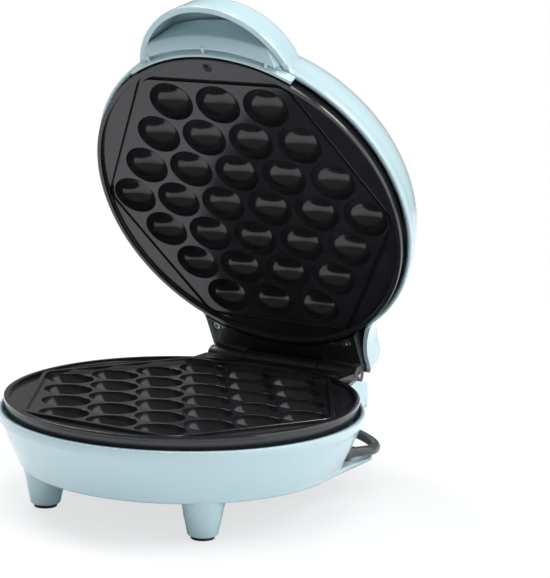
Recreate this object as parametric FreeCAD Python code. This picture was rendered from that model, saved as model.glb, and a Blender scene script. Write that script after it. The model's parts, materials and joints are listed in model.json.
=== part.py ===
import FreeCAD, Part
import math
import os
from FreeCAD import Vector

# Bubble waffle maker, lid standing open. Millimetres, X along the hinge, Y to the back, Z up.
# The base is drawn round the plates' axis. The lid is drawn closed and then swung open on its hinge.
# At the end everything moves in Y, so that the origin lies under the middle of the machine.

# Main sizes
leg_clearance = 20.0
base_depth = 36.0
open_angle = 61.3
plate_gap = 0.3
cut_over = 5.0
seat_gap = 0.3
wall = 2.4

# Cells and the line round them
cell_pitch = 29.0
row_pitch = 21.4
cell_half_length = 13.3
cell_half_width = 11.35
cell_lift = 0.3
row_counts = (3, 4, 5, 6, 5, 4, 3)
row_margin = 2.65
slant_margin = 1.77
hex_corner_radius = 10.0
hex_line_width = 2.4
groove_depth = 1.8

# Cooking plates
tip_margin = 0.875
rim_width = 2.6
plate_skirt = 6.6
deck_drop = 2.0
slab_depth = 15.2
slab_margin = 1.5
slab_inset = 4.2
flange_depth = 5.0

# Screws
screw_head_radius = 2.4
screw_head_height = 1.6
screw_shank_radius = 1.5
screw_length = 12.0
housing_screw_bite = 2.6
screw_well_radius = 2.6
screw_well_depth = 1.7
screw_well_margin = 0.4
screw_clearance = 0.25
cross_length_share = 0.55
cross_width_share = 0.2

# Shells
lip_clearance = 0.6
rim_band = 4.7
rim_step = 1.3
rim_edge_radius = 0.8
foot_inset = 10.4
belly_inset = 5.1
belly_drop = 21.5
base_corner = 3.4
floor_thickness = 2.5
lid_shoulder_inset = 3.6
lid_shoulder_height = 22.5
lid_corner_inset = 9.5
lid_corner_height = 32.6
lid_edge_inset = 18.5
lid_edge_height = 37.2
lid_crown_height = 39.8
edge_round_shares = (0.42, 0.68)
corner_wall_shares = (0.8, 0.6)
round_wall_shares = (0.6, 0.8)
edge_wall_share = 0.4

# Tails, the parts of both shells round the hinge
hinge_offset = 10.2
axis_drop = 3.5
tail_half_width = 51.5
tail_corner_radius = 7.0
tail_waist_radius = 40.0
waist_bite = 0.2
tail_front_share = 0.63
tail_rise_run = 21.7
base_tail_reach = 10.8
base_tail_peak_run = 8.7
base_tail_peak_drop = 4.6
base_tail_end_drop = 9.4
base_tail_depth = 22.0
base_tail_chamfer = 2.0
lid_tail_reach = 7.3
lid_tail_peak_run = 7.7
lid_tail_lip = 4.6
lid_tail_edge = 3.0
lid_tail_height = 18.4
lid_tail_back_height = 9.4
lid_tail_slope = 9.0

# Shelf under the back of the base, and the front legs
shelf_drop = 3.0
shelf_thickness = 2.4
shelf_side_inset = 7.8
shelf_back_inset = 10.1
shelf_corner_radius = 9.0
leg_angle = 48.4
leg_inset = 12.9
leg_neck_radius = 9.6
leg_foot_radius = 7.8
leg_foot_round = 1.6
leg_neck_drop = 8.5
leg_flare_radius = 13.4
leg_flare_height = 13.5
leg_flare_shares = (0.34, 0.5)
pad_radius = 5.9
pad_height = 1.5

# Handle
hood_inset = 23.5
hood_inner_radius = 44.3
hood_wall = 3.0
hood_mouth_height = 7.0
hood_shoulder_inset = 3.6
hood_shoulder_height = 23.0
hood_top_inset = 10.0
hood_top_height = 29.0
hood_crown_height = 33.5
hood_round_shares = (0.45, 0.513)
hood_round_wall_share = 0.7
groove_width = 2.2
ledge_width = 6.1
ledge_low_height = 2.2
ledge_round_share = 0.44
apron_lap = 0.5
apron_height = 1.2
apron_half_angle = 31.0
groove_floor_height = 4.8
web_top_height = 6.3
ledge_skirt_height = 22.0
ledge_skirt_wall = 2.2
rib_spacing = 36.0
rib_width = 1.6

# Hinge
barrel_radius = 5.5
knuckle_split = 24.0
cheek_width = 2.0
cheek_gap = 0.1
side_gap = 0.3
pin_radius = 2.0
running_clearance = 0.05
swing_clearance = 0.6
housing_side_gap = 0.7
base_housing_top_drop = 1.5
base_housing_bottom_drop = 17.5
base_housing_back_gap = 1.7
base_housing_step_gap = 0.8
lid_housing_rise = 0.8
lid_housing_gap = 0.9
housing_screw_inset = 5.9
housing_screw_run = 18.1
housing_plate_gap = 1.2

# Cord winder, the column and foot at the back
winder_half_run = 20.0
winder_radius = 11.0
foot_flange = 7.0
foot_lip = 3.0
foot_corner_radius = 8.0
foot_thickness = 3.1
rear_pad_inset = 12.0
winder_screw_side = 12.0
winder_screw_radius = 1.6
winder_screw_length = 16.0

# Cord and plug
cord_diameter = 5.4
winding_pitch = 5.8
winding_turns = 3
winding_gap = 0.3
winding_start = 14.0
winding_clear = 1.3
arc_share = 0.45
gland_angle = 32.0
gland_turn = 26.0
gland_rise = 4.9
gland_collar_radius = 4.4
gland_collar = 1.6
gland_root_radius = 3.5
gland_tip_radius = 3.0
gland_length = 5.5
gland_inside = 8.0
plug_width = 25.0
plug_thickness = 13.6
plug_length = 27.0
plug_neck_length = 9.0
plug_neck_radius = 4.0
plug_neck_share = 0.42
plug_corner = 3.0
blade_length = 16.0
blade_width = 6.3
blade_thickness = 1.5
blade_spacing = 12.7
# Route of the free loop from the gland to the winding, and of the end under the base
lead_route = (
    (79.686, 56.533, 24.9), (79.6, 67.0, 23.4), (74.4, 77.0, 23.2), (65.0, 84.1, 23.9),
    (54.0, 89.0, 24.9), (41.6, 91.4, 25.8), (28.8, 91.5, 26.51),
)
tail_route = (
    (0.6, 91.5, 8.14), (-14.0, 90.9, 7.7), (-28.4, 86.4, 7.2), (-38.2, 75.6, 6.8),
    (-41.0, 62.0, 6.7), (-35.6, 49.8, 6.7), (-24.0, 42.9, 6.8),
)
plug_entry = (-11.0, 42.9, 6.8)

# Inside
element_inset = 28.3
element_tube_radius = 3.2
element_gap_angle = 40.0
element_end_length = 5.0
reflector_inset = 12.3
reflector_thickness = 0.8
reflector_lip = 3.0
reflector_hole_radius = 14.0
post_radius = 4.0
post_inset = 7.0
rear_post_angle = 30.0
reflector_post_inset = 6.0
reflector_post_radius = 3.0
thermostat_radius = 8.0
thermostat_height = 7.0
fuse_radius = 2.2
fuse_length = 14.0
fuse_back = 24.0
block_width = 26.0
block_depth = 12.0
block_height = 7.0
block_back = 30.0
block_well_share = 0.31
wire_radius = 1.3
lens_side = 9.0
lens_inset = 19.0
lens_radius = 3.0
lens_head_radius = 3.8
lens_proud = 0.9
lamp_radius = 2.4
lamp_length = 9.0

# Hexagon and plate, from the cells inwards out
sixth = math.pi / 3
hex_row_apothem = (len(row_counts) - 1) / 2 * row_pitch + cell_half_width + row_margin
end_cell = (max(row_counts) - 1) / 2 * cell_pitch
cell_slant_reach = math.hypot(cell_half_length * math.sin(sixth), cell_half_width * math.cos(sixth))
hex_slant_apothem = end_cell * math.sin(sixth) + cell_slant_reach + slant_margin
hex_tip_reach = (hex_slant_apothem - hex_corner_radius) / math.sin(sixth) + hex_corner_radius
plate_radius = hex_tip_reach + hex_line_width / 2 + tip_margin + rim_width
slab_radius = plate_radius - slab_inset
plate_screw_radius = plate_radius - rim_width - screw_well_radius - screw_well_margin
lip_radius = plate_radius + lip_clearance
rim_radius = lip_radius + wall

# Shell radii and heights
base_bottom = leg_clearance
closing_height = base_bottom + base_depth
base_foot_radius = rim_radius - foot_inset
base_belly_radius = rim_radius - belly_inset
base_belly_height = closing_height - belly_drop
base_rim_height = closing_height - plate_skirt
base_floor_top = base_bottom + floor_thickness
lid_shoulder_radius = rim_radius - lid_shoulder_inset
lid_corner_radius = rim_radius - lid_corner_inset
lid_edge_radius = rim_radius - lid_edge_inset
lower_face = closing_height - plate_gap / 2
upper_face = closing_height + plate_gap / 2

# Hinge and tails
axis_back = rim_radius + hinge_offset
axis_height = closing_height - axis_drop
tail_front = rim_radius * tail_front_share
tail_rise_start = axis_back - tail_rise_run
base_tail_end = axis_back + base_tail_reach
base_tail_peak_back = axis_back - base_tail_peak_run
base_tail_underside = closing_height - base_tail_depth
lid_tail_end = axis_back + lid_tail_reach
lid_tail_peak_back = axis_back - lid_tail_peak_run
housing_half_width = tail_half_width - wall - housing_side_gap
cheek_end = housing_half_width - cheek_gap
knuckle_outer = cheek_end - cheek_width
base_housing_back = base_tail_end - wall - base_housing_back_gap
base_housing_step = axis_back - barrel_radius - base_housing_step_gap
housing_screw_side = housing_half_width - housing_screw_inset
housing_screw_back = axis_back - housing_screw_run
housing_floor = closing_height - base_housing_bottom_drop
housing_ceiling = closing_height + lid_tail_height - wall - lid_housing_gap

# Handle
hood_centre = rim_radius - hood_inset
apron_inner_radius = lip_radius + apron_lap
apron_outer_radius = rim_radius - seat_gap
ledge_inner_radius = apron_outer_radius + groove_width
ledge_radius = ledge_inner_radius + ledge_width

# Shelf, legs and the foot at the back
shelf_bottom = base_bottom - shelf_drop
shelf_half_width = base_foot_radius - shelf_side_inset
shelf_back = base_foot_radius - shelf_back_inset
leg_ring_radius = base_foot_radius - leg_inset
leg_side = leg_ring_radius * math.cos(math.radians(leg_angle))
leg_front = leg_ring_radius * math.sin(math.radians(leg_angle))
foot_top = pad_height + foot_thickness
winder_centre = base_tail_end - winder_radius
foot_half_width = winder_half_run + winder_radius + foot_flange
foot_half_depth = winder_radius + foot_lip
rear_pad_side = foot_half_width - rear_pad_inset

# Cord
cord_radius = cord_diameter / 2
winding_radius = winder_radius + winding_gap + cord_radius
winding_perimeter = 4 * winder_half_run + 2 * math.pi * winding_radius
winding_slope = winding_pitch / winding_perimeter
winding_start_height = foot_top + winding_turns * winding_pitch + cord_radius + winding_clear
gland_height = base_bottom + gland_rise

# Heating parts
slab_bottom = lower_face - slab_depth
element_ring_radius = slab_radius - element_inset
element_height = slab_bottom - seat_gap - element_tube_radius
element_rise = 2 * closing_height - element_height
reflector_radius = slab_radius - reflector_inset
reflector_height = element_height - element_tube_radius - seat_gap - reflector_thickness
reflector_rise = 2 * closing_height - reflector_height - reflector_thickness
reflector_post_ring = reflector_radius - reflector_post_inset
post_ring_radius = plate_radius - post_inset
plate_screw_drop = deck_drop + screw_well_depth - screw_head_height
lens_front = lid_edge_radius - lens_inset
corner_share = 1 - math.sin(math.pi / 4)

X_AXIS = Vector(1, 0, 0)
Y_AXIS = Vector(0, 1, 0)
Z_AXIS = Vector(0, 0, 1)


def face_of(edges):
    return Part.Face(Part.Wire(Part.__sortEdges__(edges)))


def polygon(points):
    return Part.Face(Part.makePolygon(list(points) + [points[0]]))


def chain(items):
    """Edges through points; a tuple in the list is the middle of an arc to the next point."""
    edges = []
    start = items[0]
    middle = None
    for item in items[1:]:
        if isinstance(item, tuple):
            middle = Vector(*item)
            continue
        if middle is None:
            edges.append(Part.LineSegment(start, item).toShape())
        else:
            edges.append(Part.Arc(start, middle, item).toShape())
        start = item
        middle = None
    edges.append(Part.LineSegment(start, items[0]).toShape())
    return edges


def turned(items, angle=360.0):
    """Solid of revolution about Z from an outline in the XZ plane."""
    return face_of(chain(items)).revolve(Vector(0, 0, 0), Z_AXIS, angle)


def rz(radius, height):
    return Vector(radius, 0, height)


def cylinder(radius, height, x, y, z, axis=Z_AXIS):
    return Part.makeCylinder(radius, height, Vector(x, y, z), axis)


def box(x0, x1, y0, y1, z0, z1):
    return Part.makeBox(x1 - x0, y1 - y0, z1 - z0, Vector(x0, y0, z0))


def x_prism(outline, half_width):
    """Prism along X, the same on both sides, from points (y, z)."""
    face = polygon([Vector(-half_width, y, z) for y, z in outline])
    return face.extrude(Vector(2 * half_width, 0, 0))


def upright(edge):
    first, last = edge.Vertexes[0].Point, edge.Vertexes[-1].Point
    return abs(first.x - last.x) < seat_gap and abs(first.y - last.y) < seat_gap


def round_vertical(solid, radius, back):
    """Round the upright edges of a prism that lie behind a place."""
    edges = [edge for edge in solid.Edges if upright(edge) and edge.Vertexes[0].Y > back]
    return solid.makeFillet(radius, edges)


def hexagon(offset, bottom, top):
    """Upright rounded hexagon, the line round the cells moved outwards by an offset."""
    back = hex_row_apothem + offset
    slant = hex_slant_apothem + offset
    tip = slant / math.sin(sixth)
    shoulder = (slant - back * math.cos(sixth)) / math.sin(sixth)
    corners = []
    for x, y in ((tip, 0), (shoulder, back), (-shoulder, back), (-tip, 0), (-shoulder, -back), (shoulder, -back)):
        corners.append(Vector(x, y, bottom))
    prism = polygon(corners).extrude(Vector(0, 0, top - bottom))
    return round_vertical(prism, hex_corner_radius + offset, -tip)


def cell_centres():
    centres = []
    for row, count in enumerate(row_counts):
        back = (row - (len(row_counts) - 1) / 2) * row_pitch
        for index in range(count):
            centres.append(((index - (count - 1) / 2) * cell_pitch, back))
    return centres


def egg():
    """An egg lying along X, an ellipse turned about its long axis."""
    ellipse = Part.Ellipse(Vector(0, 0, 0), cell_half_length, cell_half_width)
    arc = Part.ArcOfEllipse(ellipse, 0, math.pi).toShape()
    chord = Part.LineSegment(Vector(-cell_half_length, 0, 0), Vector(cell_half_length, 0, 0)).toShape()
    return face_of([arc, chord]).revolve(Vector(0, 0, 0), X_AXIS, 360)


def segments(bottom, top):
    """The six round segments between rim and hexagon, as solids to cut away."""
    disc = cylinder(plate_radius - rim_width, top - bottom, 0, 0, bottom)
    return disc.cut(hexagon(hex_line_width / 2, bottom - cut_over, top + cut_over))


def hex_band(bottom, top):
    outer = hexagon(hex_line_width / 2, bottom, top)
    inner = hexagon(-hex_line_width / 2, bottom - cut_over, top + cut_over)
    return outer.cut(inner)


def plate_casting(raised_line):
    """Cooking plate with its face up at zero height: lower with a raised line, upper with a grooved one."""
    body = cylinder(plate_radius, flange_depth, 0, 0, -flange_depth)
    slab = hexagon(slab_margin, -slab_depth, -flange_depth)
    slab = slab.common(cylinder(slab_radius, slab_depth, 0, 0, -slab_depth))
    skirt_outline = [
        rz(plate_radius, -plate_skirt - seat_gap), rz(plate_radius, -flange_depth),
        rz(plate_radius - rim_width, -flange_depth), rz(plate_radius - rim_width, -plate_skirt - seat_gap),
    ]
    body = body.fuse([slab, turned(skirt_outline)])
    inner = hexagon(-hex_line_width / 2, -deck_drop, cut_over)
    body = body.cut([segments(-deck_drop, cut_over), inner])
    if not raised_line:
        disc = cylinder(plate_radius - rim_width, cut_over + deck_drop, 0, 0, -deck_drop)
        body = body.cut([disc, hex_band(-deck_drop - groove_depth, cut_over)])
    mould = egg()
    eggs = [placed(mould, x, y, cell_lift - deck_drop) for x, y in cell_centres()]
    body = body.cut(eggs)
    front = -plate_screw_radius
    well = cylinder(screw_well_radius, cut_over, 0, front, -screw_well_depth - deck_drop)
    hole_radius = screw_shank_radius + screw_clearance
    hole = cylinder(hole_radius, 2 * flange_depth, 0, front, -2 * flange_depth)
    return body.cut([well, hole])


def to_lid(shape):
    """Turn a piece drawn face up at zero height over into the closed lid."""
    flipped = shape.mirror(Vector(0, 0, 0), Z_AXIS)
    flipped.translate(Vector(0, 0, upper_face))
    return flipped


def to_base(shape):
    shape = shape.copy()
    shape.translate(Vector(0, 0, lower_face))
    return shape


def cross_screw(head_radius, head_height, shank_radius, length):
    """Screw with its head's top at zero height, pointing down, and a cross recess."""
    head = cylinder(head_radius, head_height, 0, 0, -head_height)
    edges = [e for e in head.Edges if e.BoundBox.ZMin > -head_height / 2 and e.isClosed()]
    head = head.makeFillet(head_height / 3, edges)
    shank = cylinder(shank_radius, length, 0, 0, -head_height - length)
    slot = head_radius * cross_length_share
    half = head_height * cross_width_share
    bar = box(-slot, slot, -half, half, -head_height / 2, cut_over)
    other = bar.copy()
    other.rotate(Vector(0, 0, 0), Z_AXIS, 90)
    return head.fuse(shank).cut([bar, other])


def placed(shape, x, y, z):
    shape = shape.copy()
    shape.translate(Vector(x, y, z))
    return shape


def base_outline(offset):
    """Outer outline of the bowl, or with an offset its inside, as a solid of revolution."""
    bottom = base_bottom + (floor_thickness if offset else 0)
    foot = base_foot_radius - offset
    belly = base_belly_radius - offset
    step = rim_radius - rim_step - offset
    band = base_rim_height - rim_band
    corner = base_corner
    items = [
        rz(0, bottom), rz(foot - corner, bottom),
        (foot - corner * corner_share, 0, bottom + corner * corner_share),
        rz(foot, bottom + corner), (belly, 0, base_belly_height), rz(step, band - rim_step / 2),
    ]
    if offset:
        items += [rz(lip_radius, band), rz(lip_radius, closing_height + cut_over), rz(0, closing_height + cut_over)]
    else:
        edge = rim_edge_radius
        items += [
            rz(rim_radius, band + rim_step / 2), rz(rim_radius, base_rim_height - edge),
            (rim_radius - edge * corner_share, 0, base_rim_height - edge * corner_share),
            rz(rim_radius - edge, base_rim_height), rz(0, base_rim_height),
        ]
    return turned(items)


def waisted_plan(offset, radius, end, height):
    """Plan of a tail: rounded at its back, and waisted at its sides where it runs into a round shell."""
    half = tail_half_width - offset
    waist = tail_waist_radius + offset
    corner = tail_corner_radius - offset
    reach = radius - offset + waist - waist_bite
    side = half + waist
    centre = Vector(side, math.sqrt(reach ** 2 - side ** 2), height)
    start = Vector(centre.x * (1 - waist / reach), centre.y * (1 - waist / reach), height)
    stop = Vector(half, centre.y, height)
    inward = (start - centre) + (stop - centre)
    inward.normalize()
    middle = centre + inward * waist
    cut = corner * corner_share
    right = [
        start, tuple(middle), stop, Vector(half, end - corner, height),
        (half - cut, end - cut, height), Vector(half - corner, end, height),
    ]
    left = []
    for item in reversed(right):
        if isinstance(item, tuple):
            left.append((-item[0], item[1], item[2]))
        else:
            left.append(Vector(-item.x, item.y, item.z))
    return Part.Wire(chain(right + left))


def tail_block(offset, rings, end, profile):
    """Waisted tail whose plan follows the round shell from ring to ring, cut to a side profile."""
    plans = [waisted_plan(offset, radius, end, height) for radius, height in rings]
    return Part.makeLoft(plans, True, True).common(x_prism(profile, rim_radius))


def base_tail(offset):
    top = closing_height
    end = base_tail_end - offset
    rim = rim_radius - rim_step
    rings = [(base_belly_radius - rim_edge_radius, base_tail_underside), (rim, base_rim_height), (rim, top + cut_over)]
    if offset:
        floor = base_tail_underside + floor_thickness
        profile = [(tail_front, floor), (end, floor), (end, top + cut_over), (tail_front, top + cut_over)]
    else:
        profile = [
            (tail_front, base_rim_height), (tail_rise_start, base_rim_height),
            (base_tail_peak_back, top - base_tail_peak_drop), (end, top - base_tail_end_drop),
            (end, base_tail_underside + base_tail_chamfer), (end - base_tail_chamfer, base_tail_underside),
            (tail_front, base_tail_underside),
        ]
    return tail_block(offset, rings, end, profile)


def shelf():
    """Flat shelf under the back half of the bowl, which carries the cord."""
    top = shelf_bottom + shelf_thickness
    plate = box(-shelf_half_width, shelf_half_width, 0, shelf_back, shelf_bottom, top)
    plate = round_vertical(plate, shelf_corner_radius, shelf_back / 2)
    hub = cylinder(base_foot_radius - base_corner, base_floor_top - shelf_bottom, 0, 0, shelf_bottom)
    behind = box(-shelf_half_width, shelf_half_width, 0, shelf_back, shelf_bottom, base_floor_top)
    return plate.fuse(hub.common(behind))


def leg(side):
    """Front leg, a cone that flares out into the bowl."""
    neck = base_bottom - leg_neck_drop
    flare, rise = leg_flare_shares
    cut = leg_foot_round * corner_share
    items = [
        rz(0, pad_height), rz(leg_foot_radius - leg_foot_round, pad_height),
        (leg_foot_radius - cut, 0, pad_height + cut), rz(leg_foot_radius, pad_height + leg_foot_round),
        rz(leg_neck_radius, neck),
        (leg_neck_radius + (leg_flare_radius - leg_neck_radius) * flare, 0, neck + leg_flare_height * rise),
        rz(leg_flare_radius, neck + leg_flare_height), rz(0, neck + leg_flare_height),
    ]
    return placed(turned(items), side * leg_side, -leg_front, 0)


def post_places():
    places = [(0, -plate_screw_radius)]
    for side in (-1, 1):
        angle = math.radians(rear_post_angle)
        places.append((side * post_ring_radius * math.cos(angle), post_ring_radius * math.sin(angle)))
    return places


def reflector_post_places():
    places = []
    for index in range(3):
        angle = math.radians(90 + index * 120)
        places.append((reflector_post_ring * math.cos(angle), reflector_post_ring * math.sin(angle)))
    return places


def gland_frame():
    """Middle of the gland on the outside of the wall, and the slanting way the cord leaves it."""
    angle = math.radians(gland_angle)
    foot_height = base_bottom + base_corner
    share = (gland_height - foot_height) / (base_belly_height - foot_height)
    radius = base_foot_radius + (base_belly_radius - base_foot_radius) * share
    place = Vector(radius * math.cos(angle), radius * math.sin(angle), gland_height)
    turn = math.radians(gland_angle + gland_turn)
    return place, Vector(math.cos(turn), math.sin(turn), 0)


def base_posts():
    """Posts for the plate, the reflector and the hinge housing, cut off at the shell's own wall."""
    low = base_bottom + wall / 2
    posts = []
    for x, y in post_places():
        posts.append(cylinder(post_radius, lower_face - flange_depth - low, x, y, low))
    for x, y in reflector_post_places():
        posts.append(cylinder(reflector_post_radius, reflector_height - low, x, y, low))
    low = base_tail_underside + floor_thickness / 2
    for side in (-1, 1):
        posts.append(cylinder(post_radius, housing_floor - low, side * housing_screw_side, housing_screw_back, low))
    floor = cylinder(base_foot_radius - wall, floor_thickness, 0, 0, base_bottom)
    inside = base_outline(wall / 2).fuse([base_tail(0), floor])
    return [post.common(inside) for post in posts]


def base_shell():
    solid = base_outline(0).fuse([base_tail(0), shelf(), leg(-1), leg(1)])
    solid = solid.cut(base_outline(wall).fuse(base_tail(wall)))
    solid = solid.fuse(base_posts())
    x, y = post_places()[0]
    low = lower_face - flange_depth - screw_length
    cuts = [cylinder(screw_shank_radius, screw_length + cut_over, x, y, low)]
    start, way = gland_frame()
    inner = start - way * gland_inside * 2
    cuts.append(Part.makeCylinder(gland_root_radius + seat_gap, 3 * gland_inside, inner, way))
    hole_radius = winder_screw_radius + screw_clearance
    for side in (-1, 1):
        x = side * winder_screw_side
        cuts.append(cylinder(hole_radius, 2 * cut_over, x, winder_centre, base_tail_underside - cut_over))
        x = side * housing_screw_side
        low = housing_floor - housing_screw_bite - seat_gap
        cuts.append(cylinder(screw_shank_radius, 2 * cut_over, x, housing_screw_back, low))
    return solid.cut(cuts)


def crown_middle(edge_radius, edge_height, crown_height):
    """Point half way on the arc of a spherical cap whose centre lies on the axis."""
    rise = crown_height - edge_height
    sphere = (edge_radius ** 2 + rise ** 2) / (2 * rise)
    middle = edge_radius / 2
    return middle, 0, crown_height - sphere + math.sqrt(sphere ** 2 - middle ** 2)


def lid_crown(radius):
    """Height of the lid's outside at a radius on its crown."""
    rise = lid_crown_height - lid_edge_height
    sphere = (lid_edge_radius ** 2 + rise ** 2) / (2 * rise)
    return closing_height + lid_crown_height - sphere + math.sqrt(sphere ** 2 - radius ** 2)


def lid_outline(offset):
    """Dome of the closed lid, or with an offset its inside."""
    top = closing_height
    step = rim_radius - rim_step - offset
    rim = top + plate_skirt
    band = rim + rim_band
    if offset:
        items = [rz(0, top - cut_over), rz(lip_radius, top - cut_over), rz(lip_radius, band)]
    else:
        edge = rim_edge_radius
        items = [
            rz(0, rim), rz(rim_radius - edge, rim),
            (rim_radius - edge * corner_share, 0, rim + edge * corner_share),
            rz(rim_radius, rim + edge), rz(rim_radius, band - rim_step / 2),
        ]
    corner_in, corner_down = corner_wall_shares
    round_in, round_down = round_wall_shares
    across, up = edge_round_shares
    corner = (lid_corner_radius - offset * corner_in, top + lid_corner_height - offset * corner_down)
    round_radius = lid_corner_radius - (lid_corner_radius - lid_edge_radius) * across - offset * round_in
    round_height = top + lid_corner_height + (lid_edge_height - lid_corner_height) * up - offset * round_down
    edge_radius = lid_edge_radius - offset * edge_wall_share
    edge_height = top + lid_edge_height - offset
    crown = top + lid_crown_height - offset
    items += [
        rz(step, band + rim_step / 2), (lid_shoulder_radius - offset, 0, top + lid_shoulder_height),
        rz(*corner), (round_radius, 0, round_height), rz(edge_radius, edge_height),
        crown_middle(edge_radius, edge_height, crown), rz(0, crown),
    ]
    return turned(items)


def lid_tail_profile(offset, low):
    """Side profile of the lid's tail behind its lip, or with an offset of what lies inside it."""
    rise = (lid_tail_height - lid_tail_back_height) / lid_tail_slope
    end = lid_tail_end - offset
    high = closing_height + lid_tail_height - offset
    back = closing_height + lid_tail_back_height + offset * rise - offset * math.hypot(1, rise)
    return [(end, low), (end, back), (end - (high - back) / rise, high)]


def lid_tail(offset):
    top = closing_height
    rim = rim_radius - rim_step
    rings = [
        (rim, top - cut_over), (rim, top + plate_skirt + rim_band),
        (lid_shoulder_radius - rim_edge_radius, top + lid_shoulder_height),
    ]
    if offset:
        low = top - cut_over
        profile = [(tail_front, low)] + lid_tail_profile(offset, low)
        profile.append((tail_front, top + lid_tail_height - offset))
    else:
        lip = top + lid_tail_lip
        profile = [
            (tail_front, top + plate_skirt), (tail_rise_start, top + plate_skirt), (lid_tail_peak_back, lip),
            (lid_tail_end - lid_tail_edge, lip),
        ]
        profile += lid_tail_profile(0, lip + lid_tail_edge)
        profile.append((tail_front, top + lid_tail_height + lid_tail_edge))
    return tail_block(offset, rings, lid_tail_end - offset, profile)


def hood(offset):
    """Hood of the handle, turned about its own upright axis in front of the plates' axis."""
    radius = hood_inner_radius + hood_wall - offset
    top = closing_height
    low = top + hood_mouth_height - (cut_over if offset else 0)
    across, up = hood_round_shares
    round_radius = radius - (hood_shoulder_inset + hood_top_inset) * across
    round_height = top + (hood_shoulder_height + hood_top_height) * up - offset * hood_round_wall_share
    items = [
        rz(0, low), rz(radius, low), rz(radius, top + hood_mouth_height + wall),
        rz(radius - hood_shoulder_inset, top + hood_shoulder_height - offset / 2),
        (round_radius, 0, round_height), rz(radius - hood_top_inset, top + hood_top_height - offset),
        rz(0, top + hood_crown_height - offset),
    ]
    return placed(turned(items), 0, -hood_centre, 0)


def lid_posts():
    """Posts for the plate, the reflector and the hinge housing, cut off at the lid's outside."""
    posts = []
    for x, y in post_places():
        posts.append(cylinder(post_radius, lid_crown_height, x, y, upper_face + flange_depth))
    low = reflector_rise + reflector_thickness
    for x, y in reflector_post_places():
        posts.append(cylinder(reflector_post_radius, closing_height + lid_crown_height - low, x, y, low))
    for side in (-1, 1):
        x = side * housing_screw_side
        posts.append(cylinder(post_radius, lid_crown_height, x, housing_screw_back, housing_ceiling))
    outside = lid_outline(0).fuse(lid_tail(0))
    return [post.common(outside) for post in posts]


def lid_shell():
    mouth = closing_height + hood_mouth_height
    recess = hood(hood_wall).cut(cylinder(rim_radius, 2 * closing_height, 0, 0, 0))
    solid = lid_outline(0).fuse([lid_tail(0), hood(0)])
    solid = solid.cut(lid_outline(wall).fuse(lid_tail(wall)))
    inner_wall = cylinder(rim_radius, hood_top_height - hood_mouth_height, 0, 0, mouth)
    inner_wall = inner_wall.cut(cylinder(lip_radius, 2 * closing_height, 0, 0, 0))
    inner_wall = inner_wall.common(hood(wall / 2))
    solid = solid.fuse(inner_wall).cut(recess)
    solid = solid.fuse(lid_posts())
    low = upper_face + flange_depth - cut_over
    cuts = [cylinder(screw_shank_radius, screw_length + cut_over, 0, -plate_screw_radius, low)]
    for side in (-1, 1):
        x = side * housing_screw_side
        low = housing_ceiling - cut_over
        cuts.append(cylinder(screw_shank_radius, cut_over + housing_screw_bite + seat_gap, x, housing_screw_back, low))
        x = side * lens_side
        cuts.append(cylinder(lens_radius + screw_clearance, 2 * lid_crown_height, x, -lens_front, closing_height))
    return solid.cut(cuts)


def handle_insert():
    """Crescent in the hood: apron beside the plate, groove with ribs, sloping ledge and skirt."""
    top = closing_height
    ledge_middle = (ledge_inner_radius + ledge_radius) / 2
    skirt_inner = ledge_radius - ledge_skirt_wall
    items = [
        rz(apron_inner_radius, top + apron_height), rz(apron_outer_radius, top + apron_height),
        rz(apron_outer_radius, top + groove_floor_height), rz(ledge_inner_radius, top + groove_floor_height),
        rz(ledge_inner_radius, top + ledge_low_height),
        (ledge_middle, 0, top + (ledge_low_height + hood_mouth_height) * ledge_round_share),
        rz(ledge_radius, top + hood_mouth_height), rz(ledge_radius, top + ledge_skirt_height),
        rz(skirt_inner, top + ledge_skirt_height), rz(skirt_inner, top + hood_mouth_height + wall),
        rz(rim_radius + seat_gap, top + hood_mouth_height + wall / 2),
        rz(rim_radius + seat_gap, top + web_top_height), rz(apron_inner_radius, top + web_top_height),
    ]
    body = turned(items, 2 * apron_half_angle)
    body.rotate(Vector(0, 0, 0), Z_AXIS, -90 - apron_half_angle)
    band = cylinder(apron_outer_radius, web_top_height, 0, 0, top)
    body = body.common(hood(hood_wall + seat_gap).fuse(band))
    low, high = top + apron_height + wall / 4, top + groove_floor_height + wall / 4
    back, front = -ledge_inner_radius - wall / 2, -apron_outer_radius + wall / 2
    ribs = []
    for index in (-1, 0, 1):
        rib = box(-rib_width / 2, rib_width / 2, back, front, low, high)
        rib.rotate(Vector(0, 0, 0), Z_AXIS, math.degrees(index * rib_spacing / apron_outer_radius))
        ribs.append(rib)
    return body.fuse(ribs).removeSplitter()


def knuckles(spans, radius):
    rings = []
    for x0, x1 in spans:
        rings.append(cylinder(radius, x1 - x0, x0, axis_back, axis_height, X_AXIS))
    return rings


def side_spans(inner, outer):
    return [(-outer, -inner), (inner, outer)]


def pin_bore():
    half = tail_half_width
    return cylinder(pin_radius + running_clearance, 2 * half, -half, axis_back, axis_height, X_AXIS)


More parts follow.
